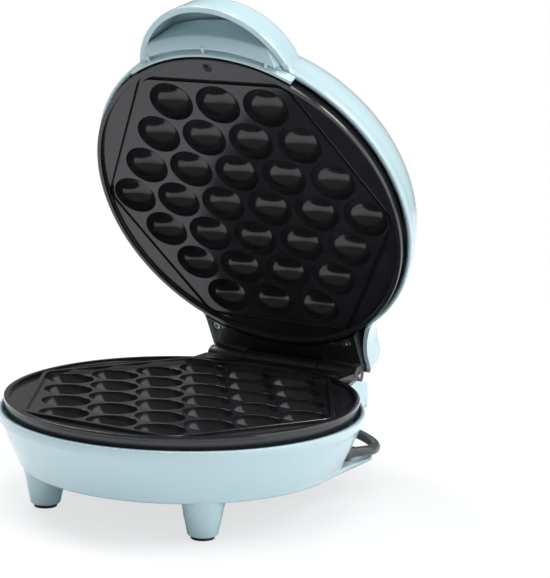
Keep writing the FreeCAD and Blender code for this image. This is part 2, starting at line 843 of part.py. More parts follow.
def base_hinge_housing():
    top = closing_height - base_housing_top_drop
    outline = [
        (tail_front, housing_floor), (base_housing_back, housing_floor),
        (base_housing_back, closing_height - base_tail_end_drop), (axis_back, axis_height - barrel_radius),
        (axis_back, axis_height), (base_housing_step, axis_height), (base_housing_step, top), (tail_front, top),
    ]
    body = x_prism(outline, housing_half_width)
    body = round_vertical(body, tail_corner_radius - wall, base_housing_back - wall)
    body = body.cut(cylinder(lip_radius + housing_plate_gap, 2 * closing_height, 0, 0, 0))
    free = side_spans(knuckle_split, knuckle_outer + side_gap)
    body = body.cut(knuckles(free, barrel_radius + swing_clearance))
    rings = knuckles([(-knuckle_split + side_gap, knuckle_split - side_gap)], barrel_radius)
    rings += knuckles(side_spans(knuckle_outer + side_gap, cheek_end), barrel_radius)
    cuts = [pin_bore()]
    hole_radius = screw_shank_radius + screw_clearance
    for side in (-1, 1):
        x = side * housing_screw_side
        low = housing_floor - cut_over
        cuts.append(cylinder(hole_radius, 2 * base_housing_bottom_drop, x, housing_screw_back, low))
        cuts.append(cylinder(screw_well_radius, cut_over, x, housing_screw_back, top - screw_well_depth))
    return body.fuse(rings).cut(cuts).removeSplitter()


def lid_hinge_housing():
    low = closing_height + lid_housing_rise
    outline = [(tail_front, low)] + lid_tail_profile(wall + lid_housing_gap, low)
    outline.append((tail_front, housing_ceiling))
    body = x_prism(outline, housing_half_width)
    body = round_vertical(body, tail_corner_radius - wall, lid_tail_end - 2 * wall - lid_housing_gap)
    body = body.cut(cylinder(lip_radius + housing_plate_gap, 2 * closing_height, 0, 0, 0))
    body = body.cut(knuckles([(-knuckle_split, knuckle_split)], barrel_radius + swing_clearance))
    body = body.cut(knuckles(side_spans(knuckle_outer, tail_half_width), barrel_radius + swing_clearance))
    spans = side_spans(knuckle_split + side_gap, knuckle_outer)
    webs = [box(x0, x1, axis_back - barrel_radius, axis_back, axis_height, low + wall) for x0, x1 in spans]
    cuts = [pin_bore()]
    hole_radius = screw_shank_radius + screw_clearance
    for side in (-1, 1):
        x = side * housing_screw_side
        cuts.append(cylinder(hole_radius, 2 * lid_tail_height, x, housing_screw_back, low - cut_over))
        cuts.append(cylinder(screw_well_radius, cut_over, x, housing_screw_back, low + screw_well_depth - cut_over))
    return body.fuse(webs + knuckles(spans, barrel_radius)).cut(cuts).removeSplitter()


def cord_winder():
    """Column with rounded ends under the tail, on a foot plate that stands on two pads."""
    front, back = winder_centre - winder_radius, winder_centre + winder_radius
    column = box(-winder_half_run, winder_half_run, front, back, foot_top, base_tail_underside)
    height = base_tail_underside - foot_top
    ends = [cylinder(winder_radius, height, side * winder_half_run, winder_centre, foot_top) for side in (-1, 1)]
    front, back = winder_centre - foot_half_depth, winder_centre + foot_half_depth
    foot = box(-foot_half_width, foot_half_width, front, back, pad_height, foot_top)
    foot = round_vertical(foot, foot_corner_radius, 0)
    cuts = []
    for side in (-1, 1):
        low = base_tail_underside - winder_screw_length
        cuts.append(cylinder(winder_screw_radius, winder_screw_length, side * winder_screw_side, winder_centre, low))
    return column.fuse(ends + [foot]).cut(cuts).removeSplitter()


def foot_pads():
    pads = []
    for side in (-1, 1):
        pads.append(cylinder(pad_radius, pad_height, side * leg_side, -leg_front, 0))
        pads.append(cylinder(pad_radius, pad_height, side * rear_pad_side, winder_centre, 0))
    return Part.makeCompound(pads)


def rounded_path(points):
    """Straight runs joined by tangent arcs as large as the runs allow; gives the edges and the radii."""
    points = [Vector(*point) for point in points]
    edges, radii = [], []
    start = points[0]
    for before, corner, after in zip(points, points[1:], points[2:]):
        inward, outward = corner - before, after - corner
        shorter = min(inward.Length, outward.Length)
        inward.normalize()
        outward.normalize()
        turn = inward.getAngle(outward)
        cut = arc_share * shorter
        radii.append(cut / math.tan(turn / 2))
        first, last = corner - inward * cut, corner + outward * cut
        sideways = outward - inward
        sideways.normalize()
        middle = corner + sideways * (radii[-1] / math.cos(turn / 2) - radii[-1])
        edges.append(Part.LineSegment(start, first).toShape())
        edges.append(Part.Arc(first, middle, last).toShape())
        start = last
    edges.append(Part.LineSegment(start, points[-1]).toShape())
    return edges, radii


def tube(edges, radius, label=""):
    wire = Part.Wire(edges)
    first = edges[0]
    start = first.valueAt(first.FirstParameter)
    way = first.tangentAt(first.FirstParameter)
    ring = Part.Wire(Part.makeCircle(radius, start, way))
    shell = wire.makePipeShell([ring], True, False)
    if label:
        expected = wire.Length * math.pi * radius * radius
        print(label, "length", round(wire.Length, 1), "volume over section times length",
              round(shell.Volume / expected, 4))
    return shell


def winding_point(run):
    """Place and direction on the winding after a given length, along the front first and going down."""
    low = winding_start_height - run * winding_slope
    run = run % winding_perimeter
    first = winding_start + winder_half_run
    half_turn = math.pi * winding_radius
    if run < first:
        flat, way = Vector(winding_start - run, winder_centre - winding_radius, 0), Vector(-1, 0, 0)
    elif run < first + half_turn:
        angle = -math.pi / 2 - (run - first) / winding_radius
        flat = Vector(-winder_half_run + winding_radius * math.cos(angle),
                      winder_centre + winding_radius * math.sin(angle), 0)
        way = Vector(math.sin(angle), -math.cos(angle), 0)
    elif run < first + half_turn + 2 * winder_half_run:
        gone = run - first - half_turn
        flat, way = Vector(-winder_half_run + gone, winder_centre + winding_radius, 0), Vector(1, 0, 0)
    elif run < first + 2 * half_turn + 2 * winder_half_run:
        angle = math.pi / 2 - (run - first - half_turn - 2 * winder_half_run) / winding_radius
        flat = Vector(winder_half_run + winding_radius * math.cos(angle),
                      winder_centre + winding_radius * math.sin(angle), 0)
        way = Vector(math.sin(angle), -math.cos(angle), 0)
    else:
        gone = run - first - 2 * half_turn - 2 * winder_half_run
        flat, way = Vector(winder_half_run - gone, winder_centre - winding_radius, 0), Vector(-1, 0, 0)
    way.z = -winding_slope
    way.normalize()
    flat.z = low
    return flat, way


def biarc(start, start_way, end, end_way):
    """Two tangent arcs from one point and direction to another."""
    span = end - start
    both = start_way + end_way
    a = 2 * (1 - start_way.dot(end_way))
    b = 2 * span.dot(both)
    c = -span.dot(span)
    reach = (-b + math.sqrt(b * b - 4 * a * c)) / (2 * a)
    joint = (start + end + (start_way - end_way) * reach) * 0.5
    edges = []
    for first, way, last in ((start, start_way, joint), (joint, None, end)):
        chord = last - first
        if way is None:
            way = end_way * -1
            centre_from, chord = last, chord * -1
        else:
            centre_from = first
        across = chord - way * chord.dot(way)
        radius = chord.dot(chord) / (2 * across.Length)
        across.normalize()
        centre = centre_from + across * radius
        out = (first + last) * 0.5 - centre
        out.normalize()
        edges.append(Part.Arc(first, centre + out * radius, last).toShape())
    return edges


def winding_edges():
    """Straights and quarter-turn biarcs of the whole winding."""
    half_turn = math.pi * winding_radius
    first = winding_start + winder_half_run
    stops = [0.0]
    for turn in range(winding_turns):
        base = turn * winding_perimeter
        stops += [base + first, base + first + half_turn / 2, base + first + half_turn]
        second = base + first + half_turn + 2 * winder_half_run
        stops += [second, second + half_turn / 2, second + half_turn]
    stops.append(winding_turns * winding_perimeter)
    edges = []
    for index, (here, there) in enumerate(zip(stops, stops[1:])):
        start, start_way = winding_point(here)
        end, end_way = winding_point(there)
        if index % 3 == 0:
            edges.append(Part.LineSegment(start, end).toShape())
        else:
            edges += biarc(start, start_way, end, end_way)
    return edges


def winding_gap_measured():
    """Least gap between the turns, measured on points along the winding."""
    step = cord_diameter / 4
    total = winding_turns * winding_perimeter
    places = [winding_point(step * index)[0] for index in range(int(total / step))]
    apart = int(winding_perimeter / 2 / step)
    least = min((a - b).Length for i, a in enumerate(places) for b in places[i + apart:])
    return least - cord_diameter


def cord_lead():
    start, way = gland_frame()
    exit_point = start + way * gland_length
    route = [tuple(exit_point)] + list(lead_route) + [tuple(winding_point(0)[0])]
    edges, radii = rounded_path(route)
    print("lead from", [round(value, 3) for value in exit_point], "radii", [round(radius, 1) for radius in radii])
    return tube(edges, cord_radius, "lead")


def cord_tail():
    coil_end = winding_point(winding_turns * winding_perimeter - seat_gap / 1000)[0]
    route = [tuple(coil_end)] + list(tail_route) + [plug_entry]
    edges, radii = rounded_path(route)
    print("tail radii", [round(radius, 1) for radius in radii])
    return tube(edges, cord_radius, "tail")


def power_plug():
    """Flat two-blade plug lying on the floor, its neck towards the cord."""
    x, y, z = plug_entry
    neck_end = plug_thickness * plug_neck_share
    neck = Part.makeCone(plug_neck_radius, neck_end, plug_neck_length, Vector(x, y, z), X_AXIS)
    half_width, half_height = plug_width / 2, plug_thickness / 2
    near, far = x + plug_neck_length - wall / 2, x + plug_neck_length + plug_length
    body = box(near, far, y - half_width, y + half_width, z - half_height, z + half_height)
    edges = [edge for edge in body.Edges if abs(edge.Vertexes[0].X - edge.Vertexes[-1].X) > seat_gap]
    body = body.makeFillet(plug_corner, edges)
    return body.fuse(neck)


def plug_blades():
    x, y, z = plug_entry
    face = x + plug_neck_length + plug_length
    blades = []
    for side in (-1, 1):
        middle = y + side * blade_spacing / 2
        blades.append(box(face, face + blade_length, middle - blade_thickness / 2, middle + blade_thickness / 2,
                          z - blade_width / 2, z + blade_width / 2))
    return Part.makeCompound(blades)


def cord_gland():
    """Tapered sleeve through the wall, with a collar that lies against wall and shelf."""
    start, way = gland_frame()
    sleeve = Part.makeCone(gland_root_radius, gland_tip_radius, gland_length, start, way)
    neck = Part.makeCylinder(gland_root_radius, gland_inside, start - way * gland_inside, way)
    collar = Part.makeCylinder(gland_collar_radius, 2 * gland_collar, start - way * gland_collar, way)
    collar = collar.cut([base_outline(0), shelf()])
    return sleeve.fuse([neck, collar])


def element(height, side):
    """Open ring of tube with its two ends turned away from the plate."""
    half_gap = math.radians(element_gap_angle / 2)
    start_angle, end_angle = math.pi / 2 + half_gap, math.pi / 2 - half_gap + 2 * math.pi
    circle = Part.Circle(Vector(0, 0, height), Z_AXIS, element_ring_radius)
    arc = Part.ArcOfCircle(circle, start_angle, end_angle).toShape()
    start = arc.valueAt(arc.FirstParameter)
    ring = Part.Wire(Part.makeCircle(element_tube_radius, start, arc.tangentAt(arc.FirstParameter)))
    body = Part.Wire(arc).makePipeShell([ring], True, False)
    ends = []
    for angle in (start_angle, end_angle):
        x, y = element_ring_radius * math.cos(angle), element_ring_radius * math.sin(angle)
        length = element_tube_radius + element_end_length
        low = height - length if side > 0 else height
        ends.append(cylinder(element_tube_radius, length, x, y, low))
    return body.fuse(ends)


def reflector(height, side):
    """Pan with a turned lip, a middle hole and holes for the element's ends."""
    disc = cylinder(reflector_radius, reflector_thickness, 0, 0, height)
    low = height if side > 0 else height + reflector_thickness - reflector_lip
    lip = cylinder(reflector_radius, reflector_lip, 0, 0, low)
    inner = reflector_radius - reflector_thickness
    lip = lip.cut(cylinder(inner, 2 * reflector_lip, 0, 0, low - reflector_lip / 2))
    holes = [cylinder(reflector_hole_radius, cut_over, 0, 0, height - cut_over / 2)]
    half_gap = math.radians(element_gap_angle / 2)
    for angle in (math.pi / 2 + half_gap, math.pi / 2 - half_gap):
        x, y = element_ring_radius * math.cos(angle), element_ring_radius * math.sin(angle)
        holes.append(cylinder(element_tube_radius + seat_gap, cut_over, x, y, height - cut_over / 2))
    return disc.fuse(lip).cut(holes)


def thermostat():
    return cylinder(thermostat_radius, thermostat_height, 0, 0, upper_face + slab_depth + seat_gap)


def thermal_fuse():
    low = reflector_height - fuse_radius - seat_gap
    return cylinder(fuse_radius, fuse_length, -fuse_length / 2, fuse_back, low, X_AXIS)


def terminal_block():
    top = base_floor_top + block_height
    body = box(-block_width / 2, block_width / 2, block_back, block_back + block_depth, base_floor_top, top)
    middle = block_back + block_depth / 2
    wells = []
    for index in (-1, 0, 1):
        x = index * block_width * block_well_share
        wells.append(cylinder(block_depth / 6, block_height / 2, x, middle, top - block_height / 2))
    return body.cut(wells)


def base_wiring():
    """Leads from the gland to the terminal block and on to the element's ends."""
    start, way = gland_frame()
    inner = start - way * (gland_inside + seat_gap)
    block_side = block_width / 2 + seat_gap
    level = base_floor_top + block_height / 2
    low_end = element_height - element_tube_radius - element_end_length - seat_gap
    half_gap = math.radians(element_gap_angle / 2)
    end_x = element_ring_radius * math.sin(half_gap)
    end_y = element_ring_radius * math.cos(half_gap)
    mid_back = block_back + block_depth / 2
    wires = []
    edges, _ = rounded_path([tuple(inner), tuple(inner - way * block_depth),
                             (block_side + block_depth, mid_back, level), (block_side, mid_back, level)])
    wires.append(tube(edges, wire_radius))
    for side in (-1, 1):
        low = base_floor_top + wire_radius + seat_gap
        back = block_back + block_depth + seat_gap
        edges, _ = rounded_path([
            (side * block_width / 4, back, low), (side * block_width / 4, back + block_height, low),
            (side * end_x, end_y, low), (side * end_x, end_y, low_end),
        ])
        wires.append(tube(edges, wire_radius))
    return Part.makeCompound(wires)


def lid_wiring():
    """Leads of the lid from the thermostat to the element's ends."""
    level = element_rise + element_tube_radius + element_end_length - 2 * wire_radius
    half_gap = math.radians(element_gap_angle / 2)
    end_x = element_ring_radius * math.sin(half_gap)
    end_y = element_ring_radius * math.cos(half_gap)
    wires = []
    for side in (-1, 1):
        top = upper_face + slab_depth + thermostat_height + 2 * seat_gap
        edges, _ = rounded_path([
            (side * thermostat_radius / 2, 0, top), (side * thermostat_radius / 2, 0, level),
            (side * end_x, end_y - element_tube_radius - block_height, level),
            (side * end_x, end_y - element_tube_radius - seat_gap, level),
        ])
        wires.append(tube(edges, wire_radius))
    return Part.makeCompound(wires)


def indicator_lenses():
    lenses = []
    for side in (-1, 1):
        crown = lid_crown(math.hypot(lens_side, lens_front))
        stem = cylinder(lens_radius, 2 * wall, side * lens_side, -lens_front, crown - 2 * wall)
        head = cylinder(lens_head_radius, lens_proud, side * lens_side, -lens_front, crown + seat_gap)
        edges = [e for e in head.Edges if e.BoundBox.ZMin > crown + seat_gap + lens_proud / 2 and e.isClosed()]
        head = head.makeFillet(lens_proud / 2, edges)
        neck = cylinder(lens_radius, seat_gap, side * lens_side, -lens_front, crown)
        lenses.append(stem.fuse([neck, head]))
    return Part.makeCompound(lenses)


def indicator_lamps():
    lamps = []
    for side in (-1, 1):
        crown = lid_crown(math.hypot(lens_side, lens_front))
        low = crown - 2 * wall - seat_gap - lamp_length
        lamps.append(cylinder(lamp_radius, lamp_length, side * lens_side, -lens_front, low))
    return Part.makeCompound(lamps)


def screw_of(shank_radius, length):
    """Cross-head screw whose shank has a little room in its hole."""
    return cross_screw(screw_head_radius, screw_head_height, shank_radius - seat_gap / 3, length)


def pair(shape, side, back, height):
    return Part.makeCompound([placed(shape, hand * side, back, height) for hand in (-1, 1)])


def plate_screw():
    return screw_of(screw_shank_radius, screw_length - flange_depth)


def base_housing_screws():
    seat = closing_height - base_housing_top_drop - screw_well_depth
    one = screw_of(screw_shank_radius, seat - housing_floor + housing_screw_bite)
    return pair(one, housing_screw_side, housing_screw_back, seat + screw_head_height)


def lid_housing_screws():
    seat = closing_height + lid_housing_rise + screw_well_depth
    one = screw_of(screw_shank_radius, housing_ceiling - seat + housing_screw_bite)
    one = one.mirror(Vector(0, 0, 0), Z_AXIS)
    return pair(one, housing_screw_side, housing_screw_back, seat - screw_head_height)


def winder_screws():
    """Two screws through the tail's floor, down into the column."""
    floor = base_tail_underside + floor_thickness
    one = screw_of(winder_screw_radius, winder_screw_length - cut_over)
    return pair(one, winder_screw_side, winder_centre, floor + screw_head_height)


def hinge_pin():
    return cylinder(pin_radius, 2 * cheek_end, -cheek_end, axis_back, axis_height, X_AXIS)


def build():
    fixed = {
        "base_shell": base_shell(),
        "lower_plate": to_base(plate_casting(True)),
        "lower_plate_screw": placed(plate_screw(), 0, -plate_screw_radius, lower_face - plate_screw_drop),
        "lower_heating_element": element(element_height, 1),
        "lower_reflector": reflector(reflector_height, 1),
        "thermal_fuse": thermal_fuse(),
        "terminal_block": terminal_block(),
        "base_wiring": base_wiring(),
        "base_hinge_housing": base_hinge_housing(),
        "base_housing_screws": base_housing_screws(),
        "hinge_pin": hinge_pin(),
        "cord_winder": cord_winder(),
        "winder_screws": winder_screws(),
        "foot_pads": foot_pads(),
        "cord_gland": cord_gland(),
        "cord_lead": cord_lead(),
        "cord_coil": tube(winding_edges(), cord_radius, "winding"),
        "cord_tail": cord_tail(),
        "power_plug": power_plug(),
        "plug_blades": plug_blades(),
    }
    upper_screw = plate_screw().mirror(Vector(0, 0, 0), Z_AXIS)
    lid = {
        "lid_shell": lid_shell(),
        "handle_insert": handle_insert(),
        "upper_plate": to_lid(plate_casting(False)),
        "upper_plate_screw": placed(upper_screw, 0, -plate_screw_radius, upper_face + plate_screw_drop),
        "upper_heating_element": element(element_rise, -1),
        "upper_reflector": reflector(reflector_rise, -1),
        "thermostat": thermostat(),
        "lid_wiring": lid_wiring(),
        "lid_hinge_housing": lid_hinge_housing(),
        "lid_housing_screws": lid_housing_screws(),
        "indicator_lenses": indicator_lenses(),
        "indicator_lamps": indicator_lamps(),
    }
    for shape in lid.values():
        shape.rotate(Vector(0, axis_back, axis_height), X_AXIS, -open_angle)
    return fixed, lid


def main():
    fixed, lid = build()
    nodes = dict(fixed)
    nodes.update(lid)
    cord_names = ("cord_lead", "cord_coil", "cord_tail", "power_plug", "plug_blades")
    boxes = [shape.optimalBoundingBox(False, False) for name, shape in nodes.items() if name not in cord_names]
    shift = -(min(b.YMin for b in boxes) + max(b.YMax for b in boxes)) / 2
    print("shift in Y", round(shift, 4), "least gap in the winding", round(winding_gap_measured(), 2))
    os.makedirs("parts", exist_ok=True)
    for name, shape in nodes.items():
        shape.translate(Vector(0, shift, 0))
        if not shape.isValid() or not shape.Solids:
            raise ValueError("no valid solid for " + name)
        shape.exportStep("parts/" + name + ".step")


main()
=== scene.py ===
import json
import math

import bmesh
import bpy
from bpy.props import FloatProperty, FloatVectorProperty, IntProperty, PointerProperty
from mathutils import Matrix, Vector

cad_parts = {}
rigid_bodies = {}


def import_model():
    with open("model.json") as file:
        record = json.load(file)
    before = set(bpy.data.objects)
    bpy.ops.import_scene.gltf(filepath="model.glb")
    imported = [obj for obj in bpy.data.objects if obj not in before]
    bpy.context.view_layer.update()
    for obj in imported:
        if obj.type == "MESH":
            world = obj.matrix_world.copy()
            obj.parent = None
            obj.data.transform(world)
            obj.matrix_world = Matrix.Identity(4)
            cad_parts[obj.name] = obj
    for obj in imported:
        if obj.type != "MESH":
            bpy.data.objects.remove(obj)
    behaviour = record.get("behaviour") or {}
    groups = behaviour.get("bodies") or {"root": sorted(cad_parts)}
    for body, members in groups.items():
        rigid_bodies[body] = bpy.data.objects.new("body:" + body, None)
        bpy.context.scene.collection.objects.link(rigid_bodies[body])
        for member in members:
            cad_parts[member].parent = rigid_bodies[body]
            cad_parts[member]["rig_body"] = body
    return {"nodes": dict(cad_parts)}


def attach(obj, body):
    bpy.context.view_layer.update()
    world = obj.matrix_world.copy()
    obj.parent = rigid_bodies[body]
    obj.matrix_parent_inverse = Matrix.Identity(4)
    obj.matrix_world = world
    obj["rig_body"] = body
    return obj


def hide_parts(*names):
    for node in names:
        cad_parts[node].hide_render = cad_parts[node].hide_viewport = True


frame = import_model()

bl_info = {
    "name": "Egg Waffle Pan",
    "version": (1, 0, 0),
    "blender": (4, 5, 0),
    "location": "3D View > Sidebar > Egg Waffle Pan",
    "description": "Dresses the frame of an electric egg waffle pan with its finished pieces",
    "category": "Object",
}

MM = 0.001

# Places shared with the solid model, in millimetres before the shift in Y
SHIFT_Y = -16.6667
CLOSING_HEIGHT = 56.0
AXIS_BACK = 105.698
AXIS_HEIGHT = 52.5
OPEN_ANGLE = 61.3
PLATE_GAP = 0.3

# Cells, the line round them and the plates' screws, in millimetres
ROW_COUNTS = (3, 4, 5, 6, 5, 4, 3)
CELL_PITCH = 29.0
ROW_PITCH = 21.4
HEX_ROW_APOTHEM = 78.2
HEX_SLANT_APOTHEM = 77.4
HEX_CORNER_RADIUS = 10.0
PLATE_SCREW_RADIUS = 86.9

# Small forms of the plates, in millimetres
LINE_FOOT = 0.1
LINE_SOFTNESS = 0.25
RAISED_LINE_DROP = 0.1
RIM_SOFTNESS = 0.2
LINE_START_RADIUS = 70.0
FLANGE_DEPTH = 5.0
CASTING_START = 5.1
CASTING_MARGIN = 1.5
# Screw's well from its edge on the deck down, as radius and depth
WELL_PROFILE = ((2.65, 0.0), (2.58, 0.0), (2.5, 0.15), (2.5, 1.7))
# Outside of the rim down to the parting groove, as inset from the edge and height
RIM_PROFILE = ((0.5, 0.0), (0.12, -0.15), (0.0, -0.5), (0.0, -1.9), (0.25, -2.0), (0.25, -2.25), (0.1, -2.4))

# How finely the plates are meshed
PLATE_POINTS = 240
WELL_POINTS = 32
CELL_STEPS = 15
CELL_FIRST_SINK = 5.0
CELL_LAST_SINK = 87.5
PLATE_SHARP_ANGLE = 38.0

# Copies of the solids' meshes
SHARP_ANGLE = 34.0
MERGE_DISTANCE = 0.002 * MM

# Sockets of a Mix node for colours
MIX_FACTOR, MIX_FIRST, MIX_SECOND, MIX_RESULT = 0, 6, 7, 2

WHITE = (1.0, 1.0, 1.0, 1.0)


class EggPanPlates(bpy.types.PropertyGroup):
    """Sizes of the two cast cooking plates."""

    radius: FloatProperty(
        name="Plate radius", description="Outer radius of both plates", default=92.5 * MM, unit="LENGTH")
    rim_width: FloatProperty(
        name="Rim width", description="Width of the raised rim", default=2.6 * MM, unit="LENGTH")
    deck_drop: FloatProperty(
        name="Deck depth", description="Depth of the deck under the rim", default=2.0 * MM, unit="LENGTH")
    line_width: FloatProperty(
        name="Line width", description="Width of the line round the cells", default=2.4 * MM, unit="LENGTH")
    groove_depth: FloatProperty(
        name="Groove depth", description="Depth of the upper plate's line", default=1.8 * MM, unit="LENGTH")
    cell_length: FloatProperty(
        name="Cell half length", description="Half of a cell's length", default=13.3 * MM, unit="LENGTH")
    cell_width: FloatProperty(
        name="Cell half width", description="Half of a cell's width", default=11.35 * MM, unit="LENGTH")
    cell_depth: FloatProperty(
        name="Cell depth", description="Depth of a cell under the deck", default=11.35 * MM, unit="LENGTH")
    lip: FloatProperty(
        name="Cell lip", description="Rounding at a cell's edge", default=0.2 * MM, unit="LENGTH")
    cell_segments: IntProperty(
        name="Cell segments", description="Points round a cell", default=48, min=12)
    skirt: FloatProperty(
        name="Skirt", description="Height of the plate's side", default=6.9 * MM, unit="LENGTH")
    draft: FloatProperty(
        name="Draft", description="How far the side leans in below its parting line", default=1.1 * MM,
        unit="LENGTH")
    slab: FloatProperty(
        name="Casting depth", description="Depth of the casting under the face", default=15.2 * MM,
        unit="LENGTH")
    colour: FloatVectorProperty(
        name="Coating", description="Colour of the non-stick coating", subtype="COLOR", size=3,
        default=(0.013, 0.013, 0.015))


class EggPanBody(bpy.types.PropertyGroup):
    """Colours of the shells and of the smaller pieces."""

    shell: FloatVectorProperty(
        name="Shell", description="Colour of the moulded shells", subtype="COLOR", size=3,
        default=(0.505, 0.668, 0.71))
    plastic: FloatVectorProperty(
        name="Black plastic", description="Colour of the hinge housings", subtype="COLOR", size=3,
        default=(0.012, 0.012, 0.014))
    rubber: FloatVectorProperty(
        name="Pads", description="Colour of the rubber pads", subtype="COLOR", size=3,
        default=(0.02, 0.03, 0.035))
    cord_colour: FloatVectorProperty(
        name="Cord colour", description="Colour of the cord's sheath", subtype="COLOR", size=3,
        default=(0.06, 0.06, 0.062))
    cord_diameter: FloatProperty(
        name="Cord diameter", description="Diameter of the mains cord", default=5.4 * MM, unit="LENGTH")


class EggPanStage(bpy.types.PropertyGroup):
    """Camera and floor."""

    azimuth: FloatProperty(
        name="Azimuth", description="Camera's angle round the object", default=math.radians(30.14),
        unit="ROTATION")
    elevation: FloatProperty(
        name="Elevation", description="Camera's angle above the table", default=math.radians(9.96),
        unit="ROTATION")
    roll: FloatProperty(
        name="Roll", description="Camera's turn about its own line of sight", default=math.radians(1.41),
        unit="ROTATION")
    distance: FloatProperty(
        name="Distance", description="From the camera to its target", default=941.3 * MM, unit="LENGTH")
    lens: FloatProperty(
        name="Lens", description="Focal length in millimetres on a 36 mm long side", default=116.83)
    target: FloatVectorProperty(
        name="Target", description="Point the camera looks at", subtype="TRANSLATION", size=3,
        default=(54.1 * MM, SHIFT_Y * MM, 116.8 * MM))
    floor: FloatVectorProperty(
        name="Floor", description="Colour of the floor", subtype="COLOR", size=3,
        default=(0.86, 0.87, 0.88))


# Shader groups shared by the finishes


def group_named(name, inputs, outputs):
    """New shader node group with float inputs and outputs, and its two end nodes."""
    tree = bpy.data.node_groups.new(name, "ShaderNodeTree")
    for label, default in inputs:
        socket = tree.interface.new_socket(label, in_out="INPUT", socket_type="NodeSocketFloat")
        socket.default_value = default
    for label in outputs:
        tree.interface.new_socket(label, in_out="OUTPUT", socket_type="NodeSocketFloat")
    return tree, tree.nodes.new("NodeGroupInput"), tree.nodes.new("NodeGroupOutput")


def mottle_group():
    """Slow variation over the surface, between two values."""
    tree, source, result = group_named(
        "Mottle", [("Scale", 20.0), ("Detail", 3.0), ("Low", 0.0), ("High", 1.0)], ["Value"])
    place = tree.nodes.new("ShaderNodeTexCoord")
    noise = tree.nodes.new("ShaderNodeTexNoise")
    spread = tree.nodes.new("ShaderNodeMapRange")
    spread.inputs["From Min"].default_value = 0.3
    spread.inputs["From Max"].default_value = 0.7
    links = tree.links
    links.new(place.outputs["Object"], noise.inputs["Vector"])
    links.new(source.outputs["Scale"], noise.inputs["Scale"])
    links.new(source.outputs["Detail"], noise.inputs["Detail"])
    links.new(noise.outputs["Fac"], spread.inputs["Value"])
    links.new(source.outputs["Low"], spread.inputs["To Min"])
    links.new(source.outputs["High"], spread.inputs["To Max"])
    links.new(spread.outputs["Result"], result.inputs["Value"])
    return tree


def grain_group():
    """Fine height of a moulded, cast or sprayed surface."""
    tree, source, result = group_named(
        "Grain", [("Scale", 900.0), ("Coarse Scale", 90.0), ("Coarse", 0.5)], ["Height"])
    place = tree.nodes.new("ShaderNodeTexCoord")
    fine = tree.nodes.new("ShaderNodeTexNoise")
    coarse = tree.nodes.new("ShaderNodeTexNoise")
    fine.inputs["Detail"].default_value = 2.0
    coarse.inputs["Detail"].default_value = 1.0
    mix = tree.nodes.new("ShaderNodeMix")
    links = tree.links
    links.new(place.outputs["Object"], fine.inputs["Vector"])
    links.new(place.outputs["Object"], coarse.inputs["Vector"])
    links.new(source.outputs["Scale"], fine.inputs["Scale"])
    links.new(source.outputs["Coarse Scale"], coarse.inputs["Scale"])
    links.new(source.outputs["Coarse"], mix.inputs["Factor"])
    links.new(fine.outputs["Fac"], mix.inputs["A"])
    links.new(coarse.outputs["Fac"], mix.inputs["B"])
    links.new(mix.outputs["Result"], result.inputs["Height"])
    return tree


def speckle_group():
    """Mask of small bright flecks, as in a sprayed coating."""
    tree, source, result = group_named("Speckle", [("Scale", 2500.0), ("Size", 0.16)], ["Mask"])
    place = tree.nodes.new("ShaderNodeTexCoord")
    cells = tree.nodes.new("ShaderNodeTexVoronoi")
    below = tree.nodes.new("ShaderNodeMath")
    below.operation = "LESS_THAN"
    links = tree.links
    links.new(place.outputs["Object"], cells.inputs["Vector"])
    links.new(source.outputs["Scale"], cells.inputs["Scale"])
    links.new(cells.outputs["Distance"], below.inputs[0])
    links.new(source.outputs["Size"], below.inputs[1])
    links.new(below.outputs["Value"], result.inputs["Mask"])
    return tree


def shader_group(name):
    makers = {"Mottle": mottle_group, "Grain": grain_group, "Speckle": speckle_group}
    return bpy.data.node_groups.get(name) or makers[name]()


def placed_group(tree, name, **values):
    """Shader group placed in a material, with its own values."""
    node = tree.nodes.new("ShaderNodeGroup")
    node.node_tree = shader_group(name)
    for label, value in values.items():
        node.inputs[label.replace("_", " ")].default_value = value
    return node


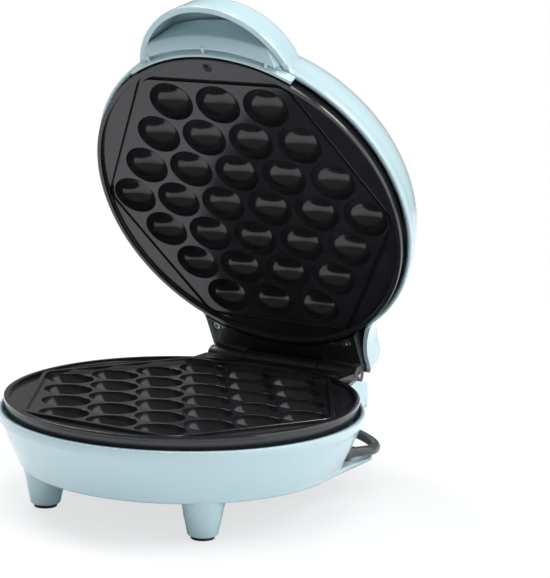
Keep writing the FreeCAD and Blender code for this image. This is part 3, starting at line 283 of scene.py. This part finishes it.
def finish(name, colour, roughness, spread=0.05, vary=1.0, tint=(0.9, 0.9, 0.9), grain=(900.0, 90.0, 0.5),
           bump=0.02, depth=0.0002, metallic=0.0, coat=0.0, coat_roughness=0.05, specular=0.5,
           transmission=0.0, flecks=None):
    """Principled material whose colour, gloss and relief vary over the piece."""
    made = bpy.data.materials.get(name)
    if made:
        return made
    made = bpy.data.materials.new(name)
    made.use_nodes = True
    made.diffuse_color = (*colour, 1.0)
    tree = made.node_tree
    shader = tree.nodes["Principled BSDF"]
    links = tree.links
    shader.inputs["Metallic"].default_value = metallic
    shader.inputs["Coat Weight"].default_value = coat
    shader.inputs["Coat Roughness"].default_value = coat_roughness
    shader.inputs["Specular IOR Level"].default_value = specular
    shader.inputs["Transmission Weight"].default_value = transmission

    rough = placed_group(tree, "Mottle", Scale=35.0, Low=roughness - spread, High=roughness + spread)
    links.new(rough.outputs["Value"], shader.inputs["Roughness"])

    tone = placed_group(tree, "Mottle", Scale=18.0, Low=0.0, High=vary)
    mix = tree.nodes.new("ShaderNodeMix")
    mix.data_type = "RGBA"
    mix.inputs[MIX_FIRST].default_value = (*colour, 1.0)
    mix.inputs[MIX_SECOND].default_value = (*(c * t for c, t in zip(colour, tint)), 1.0)
    links.new(tone.outputs["Value"], mix.inputs[MIX_FACTOR])
    last = mix.outputs[MIX_RESULT]
    if flecks:
        scale, size, bright = flecks
        mask = placed_group(tree, "Speckle", Scale=scale, Size=size)
        dots = tree.nodes.new("ShaderNodeMix")
        dots.data_type = "RGBA"
        links.new(mask.outputs["Mask"], dots.inputs[MIX_FACTOR])
        links.new(last, dots.inputs[MIX_FIRST])
        dots.inputs[MIX_SECOND].default_value = (*bright, 1.0)
        last = dots.outputs[MIX_RESULT]
    links.new(last, shader.inputs["Base Color"])

    scale, coarse_scale, coarse = grain
    relief = placed_group(tree, "Grain", Scale=scale, Coarse_Scale=coarse_scale, Coarse=coarse)
    bumps = tree.nodes.new("ShaderNodeBump")
    bumps.inputs["Strength"].default_value = bump
    bumps.inputs["Distance"].default_value = depth
    links.new(relief.outputs["Height"], bumps.inputs["Height"])
    links.new(bumps.outputs["Normal"], shader.inputs["Normal"])
    return made


def body_settings():
    return bpy.context.scene.egg_pan_body


def shell_finish():
    return finish("Pale blue gloss plastic", tuple(body_settings().shell), 0.24, spread=0.03, vary=0.5,
                  tint=(0.95, 0.98, 1.0), grain=(1400.0, 60.0, 0.6), bump=0.1, depth=0.0003,
                  coat=0.6, coat_roughness=0.06)


def coating_finish():
    return finish("Black non-stick coating", tuple(bpy.context.scene.egg_pan_plates.colour), 0.15, spread=0.03,
                  tint=(1.5, 1.5, 1.55), grain=(1800.0, 260.0, 0.45), bump=0.12, specular=0.6,
                  flecks=(2600.0, 0.13, (0.05, 0.052, 0.055)))


def black_plastic_finish():
    return finish("Black satin plastic", tuple(body_settings().plastic), 0.36, tint=(1.4, 1.4, 1.4),
                  grain=(2200.0, 300.0, 0.3), bump=0.3)


def rubber_finish():
    return finish("Pad rubber", tuple(body_settings().rubber), 0.62, tint=(1.3, 1.3, 1.3),
                  grain=(1600.0, 200.0, 0.4), bump=0.4)


def cord_finish():
    return finish("Cord sheath", tuple(body_settings().cord_colour), 0.34, tint=(1.25, 1.25, 1.25),
                  grain=(1500.0, 250.0, 0.5), bump=0.2)


def screw_finish():
    return finish("Plated screw steel", (0.42, 0.42, 0.43), 0.3, tint=(0.8, 0.8, 0.8), bump=0.2, metallic=1.0)


def black_screw_finish():
    return finish("Blackened screw", (0.05, 0.05, 0.052), 0.32, tint=(0.7, 0.7, 0.7), bump=0.2, metallic=1.0)


def pin_finish():
    return finish("Drawn pin steel", (0.5, 0.5, 0.51), 0.25, grain=(3000.0, 80.0, 0.2), bump=0.15, metallic=1.0)


def element_finish():
    return finish("Heat stained steel", (0.28, 0.25, 0.22), 0.45, tint=(0.6, 0.55, 0.6), bump=0.3, metallic=1.0)


def sheet_finish():
    return finish("Bright sheet metal", (0.7, 0.7, 0.71), 0.28, tint=(0.85, 0.85, 0.86), bump=0.15,
                  metallic=1.0)


def brass_finish():
    return finish("Brass", (0.66, 0.5, 0.24), 0.28, tint=(0.85, 0.8, 0.75), bump=0.15, metallic=1.0)


def wire_finish():
    return finish("Woven wire sleeve", (0.62, 0.6, 0.54), 0.7, bump=0.5)


# Meshes


def at_lid():
    """Matrix that swings a piece of the closed lid to its open place."""
    hinge = Vector((0.0, AXIS_BACK * MM, AXIS_HEIGHT * MM))
    swing = Matrix.Rotation(math.radians(-OPEN_ANGLE), 4, "X")
    shift = Matrix.Translation((0.0, SHIFT_Y * MM, 0.0))
    return shift @ Matrix.Translation(hinge) @ swing @ Matrix.Translation(-hinge)


def at_base():
    return Matrix.Translation((0.0, SHIFT_Y * MM, 0.0))


def settled(obj, body, material, nodes):
    """Give a new piece its finish, body, slot and the nodes it stands for."""
    obj.data.materials.clear()
    obj.data.materials.append(material)
    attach(obj, body)
    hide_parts(*nodes)
    return obj


def object_from(bm, name):
    mesh = bpy.data.meshes.new(name)
    bm.to_mesh(mesh)
    bm.free()
    obj = bpy.data.objects.new(name, mesh)
    bpy.context.scene.collection.objects.link(obj)
    return obj


def shade(obj, angle):
    """Smooth shading with sharp edges past an angle."""
    obj.data.polygons.foreach_set("use_smooth", [True] * len(obj.data.polygons))
    obj.data.set_sharp_from_angle(angle=math.radians(angle))


def refined(node, name, material):
    """Merged and smoothly shaded copy of a solid's mesh, which stands for it."""
    source = frame["nodes"][node]
    bm = bmesh.new()
    bm.from_mesh(source.data)
    bmesh.ops.remove_doubles(bm, verts=bm.verts, dist=MERGE_DISTANCE)
    bmesh.ops.dissolve_degenerate(bm, edges=bm.edges, dist=MERGE_DISTANCE)
    obj = object_from(bm, name)
    shade(obj, SHARP_ANGLE)
    even = obj.modifiers.new("Even normals", "WEIGHTED_NORMAL")
    even.keep_sharp = True
    return settled(obj, source["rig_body"], material, [node])


def hexagon_corners(inset):
    row, slant = HEX_ROW_APOTHEM - inset, HEX_SLANT_APOTHEM - inset
    third = math.pi / 3
    tip = slant / math.sin(third)
    shoulder = (slant - row * math.cos(third)) / math.sin(third)
    places = (tip, 0), (shoulder, row), (-shoulder, row), (-tip, 0), (-shoulder, -row), (shoulder, -row)
    return [Vector(place) for place in places]


def hexagon_reach(angle, offset):
    """Distance in millimetres from the middle to the rounded hexagon, moved outwards by an offset."""
    corners = hexagon_corners(HEX_CORNER_RADIUS)
    way = Vector((math.cos(angle), math.sin(angle)))
    # Halved until the point lies on the line, within limits on either side of it
    low, high = 40.0, 120.0
    for _ in range(40):
        reach = (low + high) / 2
        point = way * reach
        inside = True
        nearest = high
        for index, start in enumerate(corners):
            side = corners[(index + 1) % len(corners)] - start
            inside = inside and side.cross(point - start) > 0.0
            along = max(0.0, min(1.0, (point - start).dot(side) / side.length_squared))
            nearest = min(nearest, (point - start - side * along).length)
        if inside or nearest < HEX_CORNER_RADIUS + offset:
            low = reach
        else:
            high = reach
    return (low + high) / 2


def swept(bm, edges, rings):
    """Extrude a closed loop of edges through rings, each a move for one vertex, and give the last loop."""
    loop = edges
    for move in rings:
        made = bmesh.ops.extrude_edge_only(bm, edges=loop)["geom"]
        loop = [part for part in made if isinstance(part, bmesh.types.BMEdge)]
        for part in made:
            if isinstance(part, bmesh.types.BMVert):
                part.co = move(part.co)
    return loop


def ring_at(radius, height):
    """Move onto a circle about the plates' axis."""
    def move(co):
        flat = Vector((co.x, co.y)).normalized() * radius
        return Vector((flat.x, flat.y, height))
    return move


# Reaches of the line already found, by angle and offset
line_reaches = {}


def line_at(offset, height):
    """Move onto the rounded hexagon round the cells."""
    def move(co):
        angle = math.atan2(co.y, co.x)
        key = (round(angle, 5), round(offset, 4))
        if key not in line_reaches:
            line_reaches[key] = hexagon_reach(angle, offset) * MM
        reach = line_reaches[key]
        return Vector((math.cos(angle) * reach, math.sin(angle) * reach, height))
    return move


def cell_places():
    for row, count in enumerate(ROW_COUNTS):
        for index in range(count):
            across = index - (count - 1) / 2
            back = row - (len(ROW_COUNTS) - 1) / 2
            yield across * CELL_PITCH * MM, back * ROW_PITCH * MM


def circle_edges(bm, segments, radius, matrix):
    """Edges of a new circle, each once and in the order of its points."""
    made = bmesh.ops.create_circle(bm, cap_ends=False, segments=segments, radius=radius, matrix=matrix)["verts"]
    return list(dict.fromkeys(edge for vert in made for edge in vert.link_edges))


def deck_between(bm, edges):
    """Flat fill between loops of edges, made a thousand times larger, where the filling is exact."""
    bmesh.ops.scale(bm, vec=(1 / MM, 1 / MM, 1 / MM), verts=bm.verts)
    bmesh.ops.triangle_fill(bm, use_beauty=True, use_dissolve=False, edges=edges, normal=Vector((0, 0, 1)))
    bmesh.ops.scale(bm, vec=(MM, MM, MM), verts=bm.verts)


def cell_rings(size, x, y, deck):
    """Moves from a cell's outer edge on the deck over its soft lip and down the egg."""
    def ring(length, width, height):
        def move(co):
            angle = math.atan2((co.y - y) / size.cell_width, (co.x - x) / size.cell_length)
            return Vector((x + length * math.cos(angle), y + width * math.sin(angle), height))
        return move

    rings = []
    for grow, drop in ((size.lip / 2, 0.0), (size.lip / 5, size.lip / 4)):
        rings.append(ring(size.cell_length + grow, size.cell_width + grow, deck - drop))
    for step in range(CELL_STEPS):
        sink = math.radians(CELL_FIRST_SINK + (CELL_LAST_SINK - CELL_FIRST_SINK) * step / (CELL_STEPS - 1))
        rings.append(ring(size.cell_length * math.cos(sink), size.cell_width * math.cos(sink),
                          deck - size.cell_depth * math.sin(sink)))
    return rings


def line_rings(size, raised, deck):
    """Moves over the line round the cells, raised below and sunk above, to a flat foot outside it."""
    half = size.line_width / 2 / MM
    level = -RAISED_LINE_DROP * MM if raised else deck - size.groove_depth
    up = LINE_SOFTNESS * MM if raised else -LINE_SOFTNESS * MM
    side = [(0.0, deck), (0.1, deck + up), (0.3, level - up), (1.3, level)]
    steps = [(-half + share * LINE_SOFTNESS, height) for share, height in side]
    steps += [(half - share * LINE_SOFTNESS, height) for share, height in reversed(side)]
    steps.append((half + LINE_FOOT, deck))
    return [line_at(offset, height) for offset, height in steps]


def well_rings(middle, deck):
    """Moves from the screw well's edge over its soft lip and down its wall."""
    def ring(radius, drop):
        def move(co):
            flat = (Vector((co.x, co.y, 0)) - middle).normalized() * radius + middle
            return Vector((flat.x, flat.y, deck - drop))
        return move

    return [ring(radius * MM, drop * MM) for radius, drop in WELL_PROFILE[1:]]


def cooking_plate(raised):
    """Plate with its face up at zero height: cells, line, decks, rim, skirt and casting."""
    size = bpy.context.scene.egg_pan_plates
    deck = -size.deck_drop
    bm = bmesh.new()

    # Cells, each from a flat edge on the deck down to a closed bottom
    rims = []
    for x, y in cell_places():
        stretch = Matrix.Diagonal((size.cell_length + size.lip, size.cell_width + size.lip, 1.0, 1.0))
        edges = circle_edges(bm, size.cell_segments, 1.0, Matrix.Translation((x, y, deck)) @ stretch)
        rims += edges
        last = swept(bm, edges, cell_rings(size, x, y, deck))
        bmesh.ops.edgeloop_fill(bm, edges=last)

    # Deck inside the line, with the cells' edges as its holes
    inner = circle_edges(bm, PLATE_POINTS, LINE_START_RADIUS * MM, Matrix.Translation((0, 0, deck)))
    start = line_at(-size.line_width / 2 / MM - LINE_FOOT, deck)
    for vert in dict.fromkeys(vert for edge in inner for vert in edge.verts):
        vert.co = start(vert.co)
    deck_between(bm, inner + rims)
    outer = swept(bm, inner, line_rings(size, raised, deck))

    # Deck from the line to the rim, with the screw's well as a hole
    wall = size.radius - size.rim_width
    soft = RIM_SOFTNESS * MM
    rim = circle_edges(bm, PLATE_POINTS, wall - soft, Matrix.Translation((0, 0, deck)))
    middle = Vector((0, -PLATE_SCREW_RADIUS * MM, 0))
    at_well = Matrix.Translation(middle + Vector((0, 0, deck)))
    well = circle_edges(bm, WELL_POINTS, WELL_PROFILE[0][0] * MM, at_well)
    deck_between(bm, outer + rim + well)
    floor = swept(bm, well, well_rings(middle, deck))
    bmesh.ops.edgeloop_fill(bm, edges=floor)

    # Rim, skirt with its parting groove, and the casting behind
    rings = [
        ring_at(wall - soft / 2, deck), ring_at(wall, deck + soft),
        ring_at(wall, -soft), ring_at(wall + soft, 0.0),
    ]
    rings += [ring_at(size.radius - inset * MM, height * MM) for inset, height in RIM_PROFILE]
    rings += [
        ring_at(size.radius - size.draft, -size.skirt), ring_at(wall, -size.skirt),
        ring_at(wall, -FLANGE_DEPTH * MM),
        line_at(CASTING_MARGIN, -CASTING_START * MM), line_at(CASTING_MARGIN, -size.slab),
    ]
    back = swept(bm, rim, rings)
    bmesh.ops.edgeloop_fill(bm, edges=back)
    bmesh.ops.remove_doubles(bm, verts=bm.verts, dist=MERGE_DISTANCE)
    bmesh.ops.recalc_face_normals(bm, faces=bm.faces)
    return bm


# Operators


class EGGPAN_OT_plates(bpy.types.Operator):
    """Make the two cooking plates and their screws"""

    bl_idname = "egg_pan.plates"
    bl_label = "Cooking plates"

    def execute(self, context):
        lower = cooking_plate(True)
        below = Matrix.Translation((0, 0, (CLOSING_HEIGHT - PLATE_GAP / 2) * MM))
        bmesh.ops.transform(lower, matrix=at_base() @ below, verts=lower.verts)
        upper = cooking_plate(False)
        above = Matrix.Translation((0, 0, (CLOSING_HEIGHT + PLATE_GAP / 2) * MM))
        turned_over = Matrix.Scale(-1, 4, (0, 0, 1))
        bmesh.ops.transform(upper, matrix=at_lid() @ above @ turned_over, verts=upper.verts)
        bmesh.ops.reverse_faces(upper, faces=upper.faces)
        for bm, name, body in ((lower, "lower_cooking_plate", "base"), (upper, "upper_cooking_plate", "lid")):
            obj = object_from(bm, name)
            shade(obj, PLATE_SHARP_ANGLE)
            settled(obj, body, coating_finish(), [name.replace("_cooking", "")])
        for node in ("lower_plate_screw", "upper_plate_screw"):
            refined(node, node + "_finished", black_screw_finish())
        return {"FINISHED"}


class EGGPAN_OT_shells(bpy.types.Operator):
    """Make the moulded shells of base and lid"""

    bl_idname = "egg_pan.shells"
    bl_label = "Shells"

    def execute(self, context):
        refined("base_shell", "base_moulding", shell_finish())
        refined("lid_shell", "lid_moulding", shell_finish())
        return {"FINISHED"}


class EGGPAN_OT_handle(bpy.types.Operator):
    """Make the ledge inside the handle's hood"""

    bl_idname = "egg_pan.handle"
    bl_label = "Handle"

    def execute(self, context):
        refined("handle_insert", "handle_ledge", shell_finish())
        return {"FINISHED"}


class EGGPAN_OT_hinge(bpy.types.Operator):
    """Make the hinge housings, their screws and the pin"""

    bl_idname = "egg_pan.hinge"
    bl_label = "Hinge"

    def execute(self, context):
        for node in ("base_hinge_housing", "lid_hinge_housing"):
            refined(node, node + "_moulding", black_plastic_finish())
        for node in ("base_housing_screws", "lid_housing_screws"):
            refined(node, node + "_finished", screw_finish())
        refined("hinge_pin", "hinge_pin_finished", pin_finish())
        return {"FINISHED"}


class EGGPAN_OT_stand(bpy.types.Operator):
    """Make the cord winder with its screws, and the pads"""

    bl_idname = "egg_pan.stand"
    bl_label = "Winder and pads"

    def execute(self, context):
        refined("cord_winder", "cord_winder_moulding", shell_finish())
        refined("winder_screws", "winder_screws_finished", screw_finish())
        refined("foot_pads", "rubber_pads", rubber_finish())
        return {"FINISHED"}


class EGGPAN_OT_inside(bpy.types.Operator):
    """Give the hidden pieces inside their finishes"""

    bl_idname = "egg_pan.inside"
    bl_label = "Inner pieces"

    def execute(self, context):
        finishes = {
            "lower_heating_element": element_finish(), "upper_heating_element": element_finish(),
            "lower_reflector": sheet_finish(), "upper_reflector": sheet_finish(),
            "thermal_fuse": finish("Fuse case", (0.62, 0.62, 0.62), 0.35, metallic=1.0),
            "thermostat": finish("Thermostat ceramic", (0.5, 0.34, 0.24), 0.55),
            "terminal_block": finish("Terminal plastic", (0.72, 0.71, 0.68), 0.45, vary=0.6),
            "base_wiring": wire_finish(), "lid_wiring": wire_finish(),
        }
        for node, material in finishes.items():
            mesh = frame["nodes"][node].data
            mesh.materials.clear()
            mesh.materials.append(material)
        return {"FINISHED"}


class EGGPAN_OT_indicators(bpy.types.Operator):
    """Make the indicator lenses and lamps"""

    bl_idname = "egg_pan.indicators"
    bl_label = "Indicators"

    def execute(self, context):
        lens = finish("Red lens", (0.55, 0.06, 0.035), 0.12, vary=0.4, coat=0.6, transmission=0.35)
        refined("indicator_lenses", "lenses", lens)
        glass = finish("Lamp glass", (0.9, 0.8, 0.72), 0.08, vary=0.3, transmission=0.85)
        refined("indicator_lamps", "lamps", glass)
        return {"FINISHED"}


# Cord

# The free loop from the gland to the winding, and the end that runs under the base to the plug
CORD_EXIT = (75.69, 50.139, 24.9)
LEAD_ROUTE = (
    (79.686, 56.533, 24.9), (79.6, 67.0, 23.4), (74.4, 77.0, 23.2), (65.0, 84.1, 23.9),
    (54.0, 89.0, 24.9), (41.6, 91.4, 25.8), (28.8, 91.5, 26.51),
)
TAIL_ROUTE = (
    (0.6, 91.5, 8.14), (-14.0, 90.9, 7.7), (-28.4, 86.4, 7.2), (-38.2, 75.6, 6.8),
    (-41.0, 62.0, 6.7), (-35.6, 49.8, 6.7), (-24.0, 42.9, 6.8),
)
PLUG_ENTRY = (-11.0, 42.9, 6.8)

# The winding round the column: two straight runs and two half turns in each round
WINDER_CENTRE = 105.5
WINDER_HALF_RUN = 20.0
WINDING_RADIUS = 14.0
WINDING_PITCH = 5.8
WINDING_TURNS = 3
WINDING_START = (14.0, 26.0)
TURN_POINTS = 14

CORD_SMOOTHNESS = 6


def winding_route():
    """Points of the winding, down round the column."""
    start_x, start_z = WINDING_START
    half_turn = math.pi * WINDING_RADIUS
    run = 2 * WINDER_HALF_RUN
    round_length = 2 * run + 2 * half_turn
    slope = WINDING_PITCH / round_length
    # The points stand off the curve by as much as it cuts their corners
    reach = WINDING_RADIUS / math.cos(math.pi / TURN_POINTS / 2)
    first = start_x + WINDER_HALF_RUN
    points = []
    for turn in range(WINDING_TURNS):
        gone = turn * round_length
        flat = [(0.0, start_x, -WINDING_RADIUS)]
        for side, begin in ((-1, first), (1, first + half_turn + run)):
            for step in range(TURN_POINTS):
                share = (step + 0.5) / TURN_POINTS
                angle = math.pi * share
                flat.append((begin + half_turn * share, side * (WINDER_HALF_RUN + reach * math.sin(angle)),
                             side * reach * math.cos(angle)))
        for along, x, y in flat:
            points.append((x, WINDER_CENTRE + y, start_z - (gone + along) * slope))
    points.append((start_x, WINDER_CENTRE - WINDING_RADIUS, start_z - WINDING_TURNS * WINDING_PITCH))
    return points


class EGGPAN_OT_cord(bpy.types.Operator):
    """Make the mains cord with its gland, plug and blades"""

    bl_idname = "egg_pan.cord"
    bl_label = "Mains cord"

    def execute(self, context):
        diameter = body_settings().cord_diameter
        route = [CORD_EXIT, *LEAD_ROUTE, *winding_route(), *TAIL_ROUTE, PLUG_ENTRY]
        curve = bpy.data.curves.new("mains_cord", "CURVE")
        curve.dimensions = "3D"
        curve.bevel_depth = diameter / 2
        curve.bevel_resolution = CORD_SMOOTHNESS
        curve.use_fill_caps = True
        curve.resolution_u = CORD_SMOOTHNESS
        spline = curve.splines.new("NURBS")
        spline.points.add(len(route) - 1)
        for point, (x, y, z) in zip(spline.points, route):
            point.co = (x * MM, (y + SHIFT_Y) * MM, z * MM, 1.0)
        spline.order_u = 3
        spline.use_endpoint_u = True
        cord = bpy.data.objects.new("mains_cord", curve)
        context.scene.collection.objects.link(cord)
        settled(cord, "base", cord_finish(), ["cord_lead", "cord_coil", "cord_tail"])
        refined("cord_gland", "cord_gland_finished", cord_finish())
        plug = refined("power_plug", "power_plug_moulding", black_plastic_finish())
        blades = refined("plug_blades", "plug_blades_finished", brass_finish())
        x, y, z = CORD_EXIT
        return {"FINISHED"}


# Stage

SENSOR_WIDTH = 36.0
CLIP_START, CLIP_END = 0.01, 200.0
FLOOR_SIZE = 1.6

# Distances from the middle between which the floor's shadow fades, and the shares of plain white there
FADE_NEAR, FADE_FAR = 0.25, 0.85
WHITE_NEAR, WHITE_FAR = 0.68, 1.0

# Surroundings as they light the pieces, and as they are mirrored in them
SKY_COLOUR, SKY_STRENGTH = (0.93, 0.97, 1.0, 1.0), 0.32
MIRRORED_COLOUR, MIRRORED_STRENGTH = (1.0, 0.98, 0.97, 1.0), 0.2

# Square lamps: name, place, the point they face, side in metres and power in watts
LAMPS = (
    ("key", (-1.0, 0.3, 1.25), (0.0, 0.0, 0.09), 0.8, 13.5),
    ("side", (1.45, 0.45, 0.8), (0.0, 0.0, 0.1), 2.0, 19.5),
    ("top", (0.1, -0.05, 1.6), (0.0, 0.0, 0.1), 1.1, 15.5),
    ("edge", (1.0, 0.65, 1.4), (0.0, 0.0, 0.15), 0.45, 4.5),
)


def background(tree, colour, strength):
    """Light of the world with a plain colour."""
    node = tree.nodes.new("ShaderNodeBackground")
    node.inputs["Color"].default_value = colour
    node.inputs["Strength"].default_value = strength
    return node


class EGGPAN_OT_stage(bpy.types.Operator):
    """Make floor, lights, world and camera"""

    bl_idname = "egg_pan.stage"
    bl_label = "Stage"

    def execute(self, context):
        settings = context.scene.egg_pan_stage
        self.camera(context, settings)
        self.floor(context, settings)
        self.world(context)
        for lamp in LAMPS:
            self.lamp(context, *lamp)
        context.scene.view_settings.view_transform = "Standard"
        return {"FINISHED"}

    def camera(self, context, settings):
        azimuth, elevation, roll = settings.azimuth, settings.elevation, settings.roll
        back = Vector((math.sin(azimuth) * math.cos(elevation), -math.cos(azimuth) * math.cos(elevation),
                       math.sin(elevation)))
        level = Vector((math.cos(azimuth), math.sin(azimuth), 0.0))
        up = back.cross(level)
        turned_x = level * math.cos(roll) + up * math.sin(roll)
        turned_y = up * math.cos(roll) - level * math.sin(roll)
        data = bpy.data.cameras.new("camera")
        data.lens = settings.lens
        data.sensor_width = SENSOR_WIDTH
        camera = bpy.data.objects.new("camera", data)
        turned = Matrix((turned_x, turned_y, back)).transposed().to_4x4()
        camera.matrix_world = Matrix.Translation(Vector(settings.target) + back * settings.distance) @ turned
        data.clip_start, data.clip_end = CLIP_START, CLIP_END
        context.scene.collection.objects.link(camera)
        context.scene.camera = camera

    def floor(self, context, settings):
        bm = bmesh.new()
        bmesh.ops.create_grid(bm, x_segments=1, y_segments=1, size=FLOOR_SIZE)
        floor = object_from(bm, "floor")
        material = bpy.data.materials.new("Pale floor")
        material.use_nodes = True
        tree = material.node_tree
        shader = tree.nodes["Principled BSDF"]
        shader.inputs["Base Color"].default_value = (*settings.floor, 1.0)
        shader.inputs["Roughness"].default_value = 0.6
        shader.inputs["Specular IOR Level"].default_value = 0.2
        # Seen straight on, the floor is a white sheet with a weak shadow that fades out around the pan
        sheet = tree.nodes.new("ShaderNodeEmission")
        sheet.inputs["Color"].default_value = WHITE
        sheet.inputs["Strength"].default_value = 1.0
        place = tree.nodes.new("ShaderNodeTexCoord")
        reach = tree.nodes.new("ShaderNodeVectorMath")
        reach.operation = "LENGTH"
        fade = tree.nodes.new("ShaderNodeMapRange")
        fade.interpolation_type = "SMOOTHSTEP"
        fade.inputs["From Min"].default_value = FADE_NEAR
        fade.inputs["From Max"].default_value = FADE_FAR
        fade.inputs["To Min"].default_value = WHITE_NEAR
        fade.inputs["To Max"].default_value = WHITE_FAR
        seen = tree.nodes.new("ShaderNodeMixShader")
        both = tree.nodes.new("ShaderNodeMixShader")
        rays = tree.nodes.new("ShaderNodeLightPath")
        links = tree.links
        links.new(place.outputs["Object"], reach.inputs[0])
        links.new(reach.outputs["Value"], fade.inputs["Value"])
        links.new(fade.outputs["Result"], seen.inputs["Fac"])
        links.new(shader.outputs["BSDF"], seen.inputs[1])
        links.new(sheet.outputs["Emission"], seen.inputs[2])
        links.new(rays.outputs["Is Camera Ray"], both.inputs["Fac"])
        links.new(shader.outputs["BSDF"], both.inputs[1])
        links.new(seen.outputs["Shader"], both.inputs[2])
        links.new(both.outputs["Shader"], tree.nodes["Material Output"].inputs["Surface"])
        floor.data.materials.append(material)

    def world(self, context):
        world = bpy.data.worlds.new("studio")
        context.scene.world = world
        world.use_nodes = True
        tree = world.node_tree
        tree.nodes.clear()
        out = tree.nodes.new("ShaderNodeOutputWorld")
        shown = background(tree, WHITE, 1.0)
        lit = background(tree, SKY_COLOUR, SKY_STRENGTH)
        mirrored = background(tree, MIRRORED_COLOUR, MIRRORED_STRENGTH)
        rays = tree.nodes.new("ShaderNodeLightPath")
        around = tree.nodes.new("ShaderNodeMixShader")
        clear = tree.nodes.new("ShaderNodeMath")
        clear.operation = "MAXIMUM"
        mix = tree.nodes.new("ShaderNodeMixShader")
        links = tree.links
        links.new(rays.outputs["Is Glossy Ray"], around.inputs["Fac"])
        links.new(lit.outputs["Background"], around.inputs[1])
        links.new(mirrored.outputs["Background"], around.inputs[2])
        links.new(rays.outputs["Is Camera Ray"], clear.inputs[0])
        links.new(rays.outputs["Is Transmission Ray"], clear.inputs[1])
        links.new(clear.outputs["Value"], mix.inputs["Fac"])
        links.new(around.outputs["Shader"], mix.inputs[1])
        links.new(shown.outputs["Background"], mix.inputs[2])
        links.new(mix.outputs["Shader"], out.inputs["Surface"])

    def lamp(self, context, name, place, aim, size, power):
        data = bpy.data.lights.new(name, "AREA")
        data.shape = "SQUARE"
        data.size = size
        data.energy = power
        lamp = bpy.data.objects.new(name, data)
        lamp.location = place
        lamp.rotation_mode = "QUATERNION"
        lamp.rotation_quaternion = (Vector(aim) - Vector(place)).to_track_quat("-Z", "Y")
        context.scene.collection.objects.link(lamp)


class EGGPAN_PT_panel(bpy.types.Panel):
    """Sidebar panel that lists the pieces' operators and sizes"""

    bl_idname = "EGGPAN_PT_panel"
    bl_label = "Egg Waffle Pan"
    bl_space_type = "VIEW_3D"
    bl_region_type = "UI"
    bl_category = "Egg Waffle Pan"

    def draw(self, context):
        for operator in OPERATORS:
            self.layout.operator(operator.bl_idname)
        scene = context.scene
        for settings in (scene.egg_pan_plates, scene.egg_pan_body, scene.egg_pan_stage):
            column = self.layout.column()
            for name in settings.__annotations__:
                column.prop(settings, name)


OPERATORS = (
    EGGPAN_OT_stage,
    EGGPAN_OT_cord,
    EGGPAN_OT_plates,
    EGGPAN_OT_shells,
    EGGPAN_OT_handle,
    EGGPAN_OT_hinge,
    EGGPAN_OT_stand,
    EGGPAN_OT_inside,
    EGGPAN_OT_indicators,
)
SETTINGS = (EggPanPlates, EggPanBody, EggPanStage)


def register():
    for cls in (*SETTINGS, *OPERATORS, EGGPAN_PT_panel):
        bpy.utils.register_class(cls)
    bpy.types.Scene.egg_pan_plates = PointerProperty(type=EggPanPlates)
    bpy.types.Scene.egg_pan_body = PointerProperty(type=EggPanBody)
    bpy.types.Scene.egg_pan_stage = PointerProperty(type=EggPanStage)


def unregister():
    del bpy.types.Scene.egg_pan_stage
    del bpy.types.Scene.egg_pan_body
    del bpy.types.Scene.egg_pan_plates
    for cls in reversed((*SETTINGS, *OPERATORS, EGGPAN_PT_panel)):
        bpy.utils.unregister_class(cls)


def main():
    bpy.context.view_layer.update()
    register()
    bpy.ops.egg_pan.stage()
    bpy.ops.egg_pan.cord()
    bpy.ops.egg_pan.plates()
    bpy.ops.egg_pan.shells()
    bpy.ops.egg_pan.handle()
    bpy.ops.egg_pan.hinge()
    bpy.ops.egg_pan.stand()
    bpy.ops.egg_pan.inside()
    bpy.ops.egg_pan.indicators()
    bpy.context.view_layer.update()


if __name__ == "__main__":
    main()
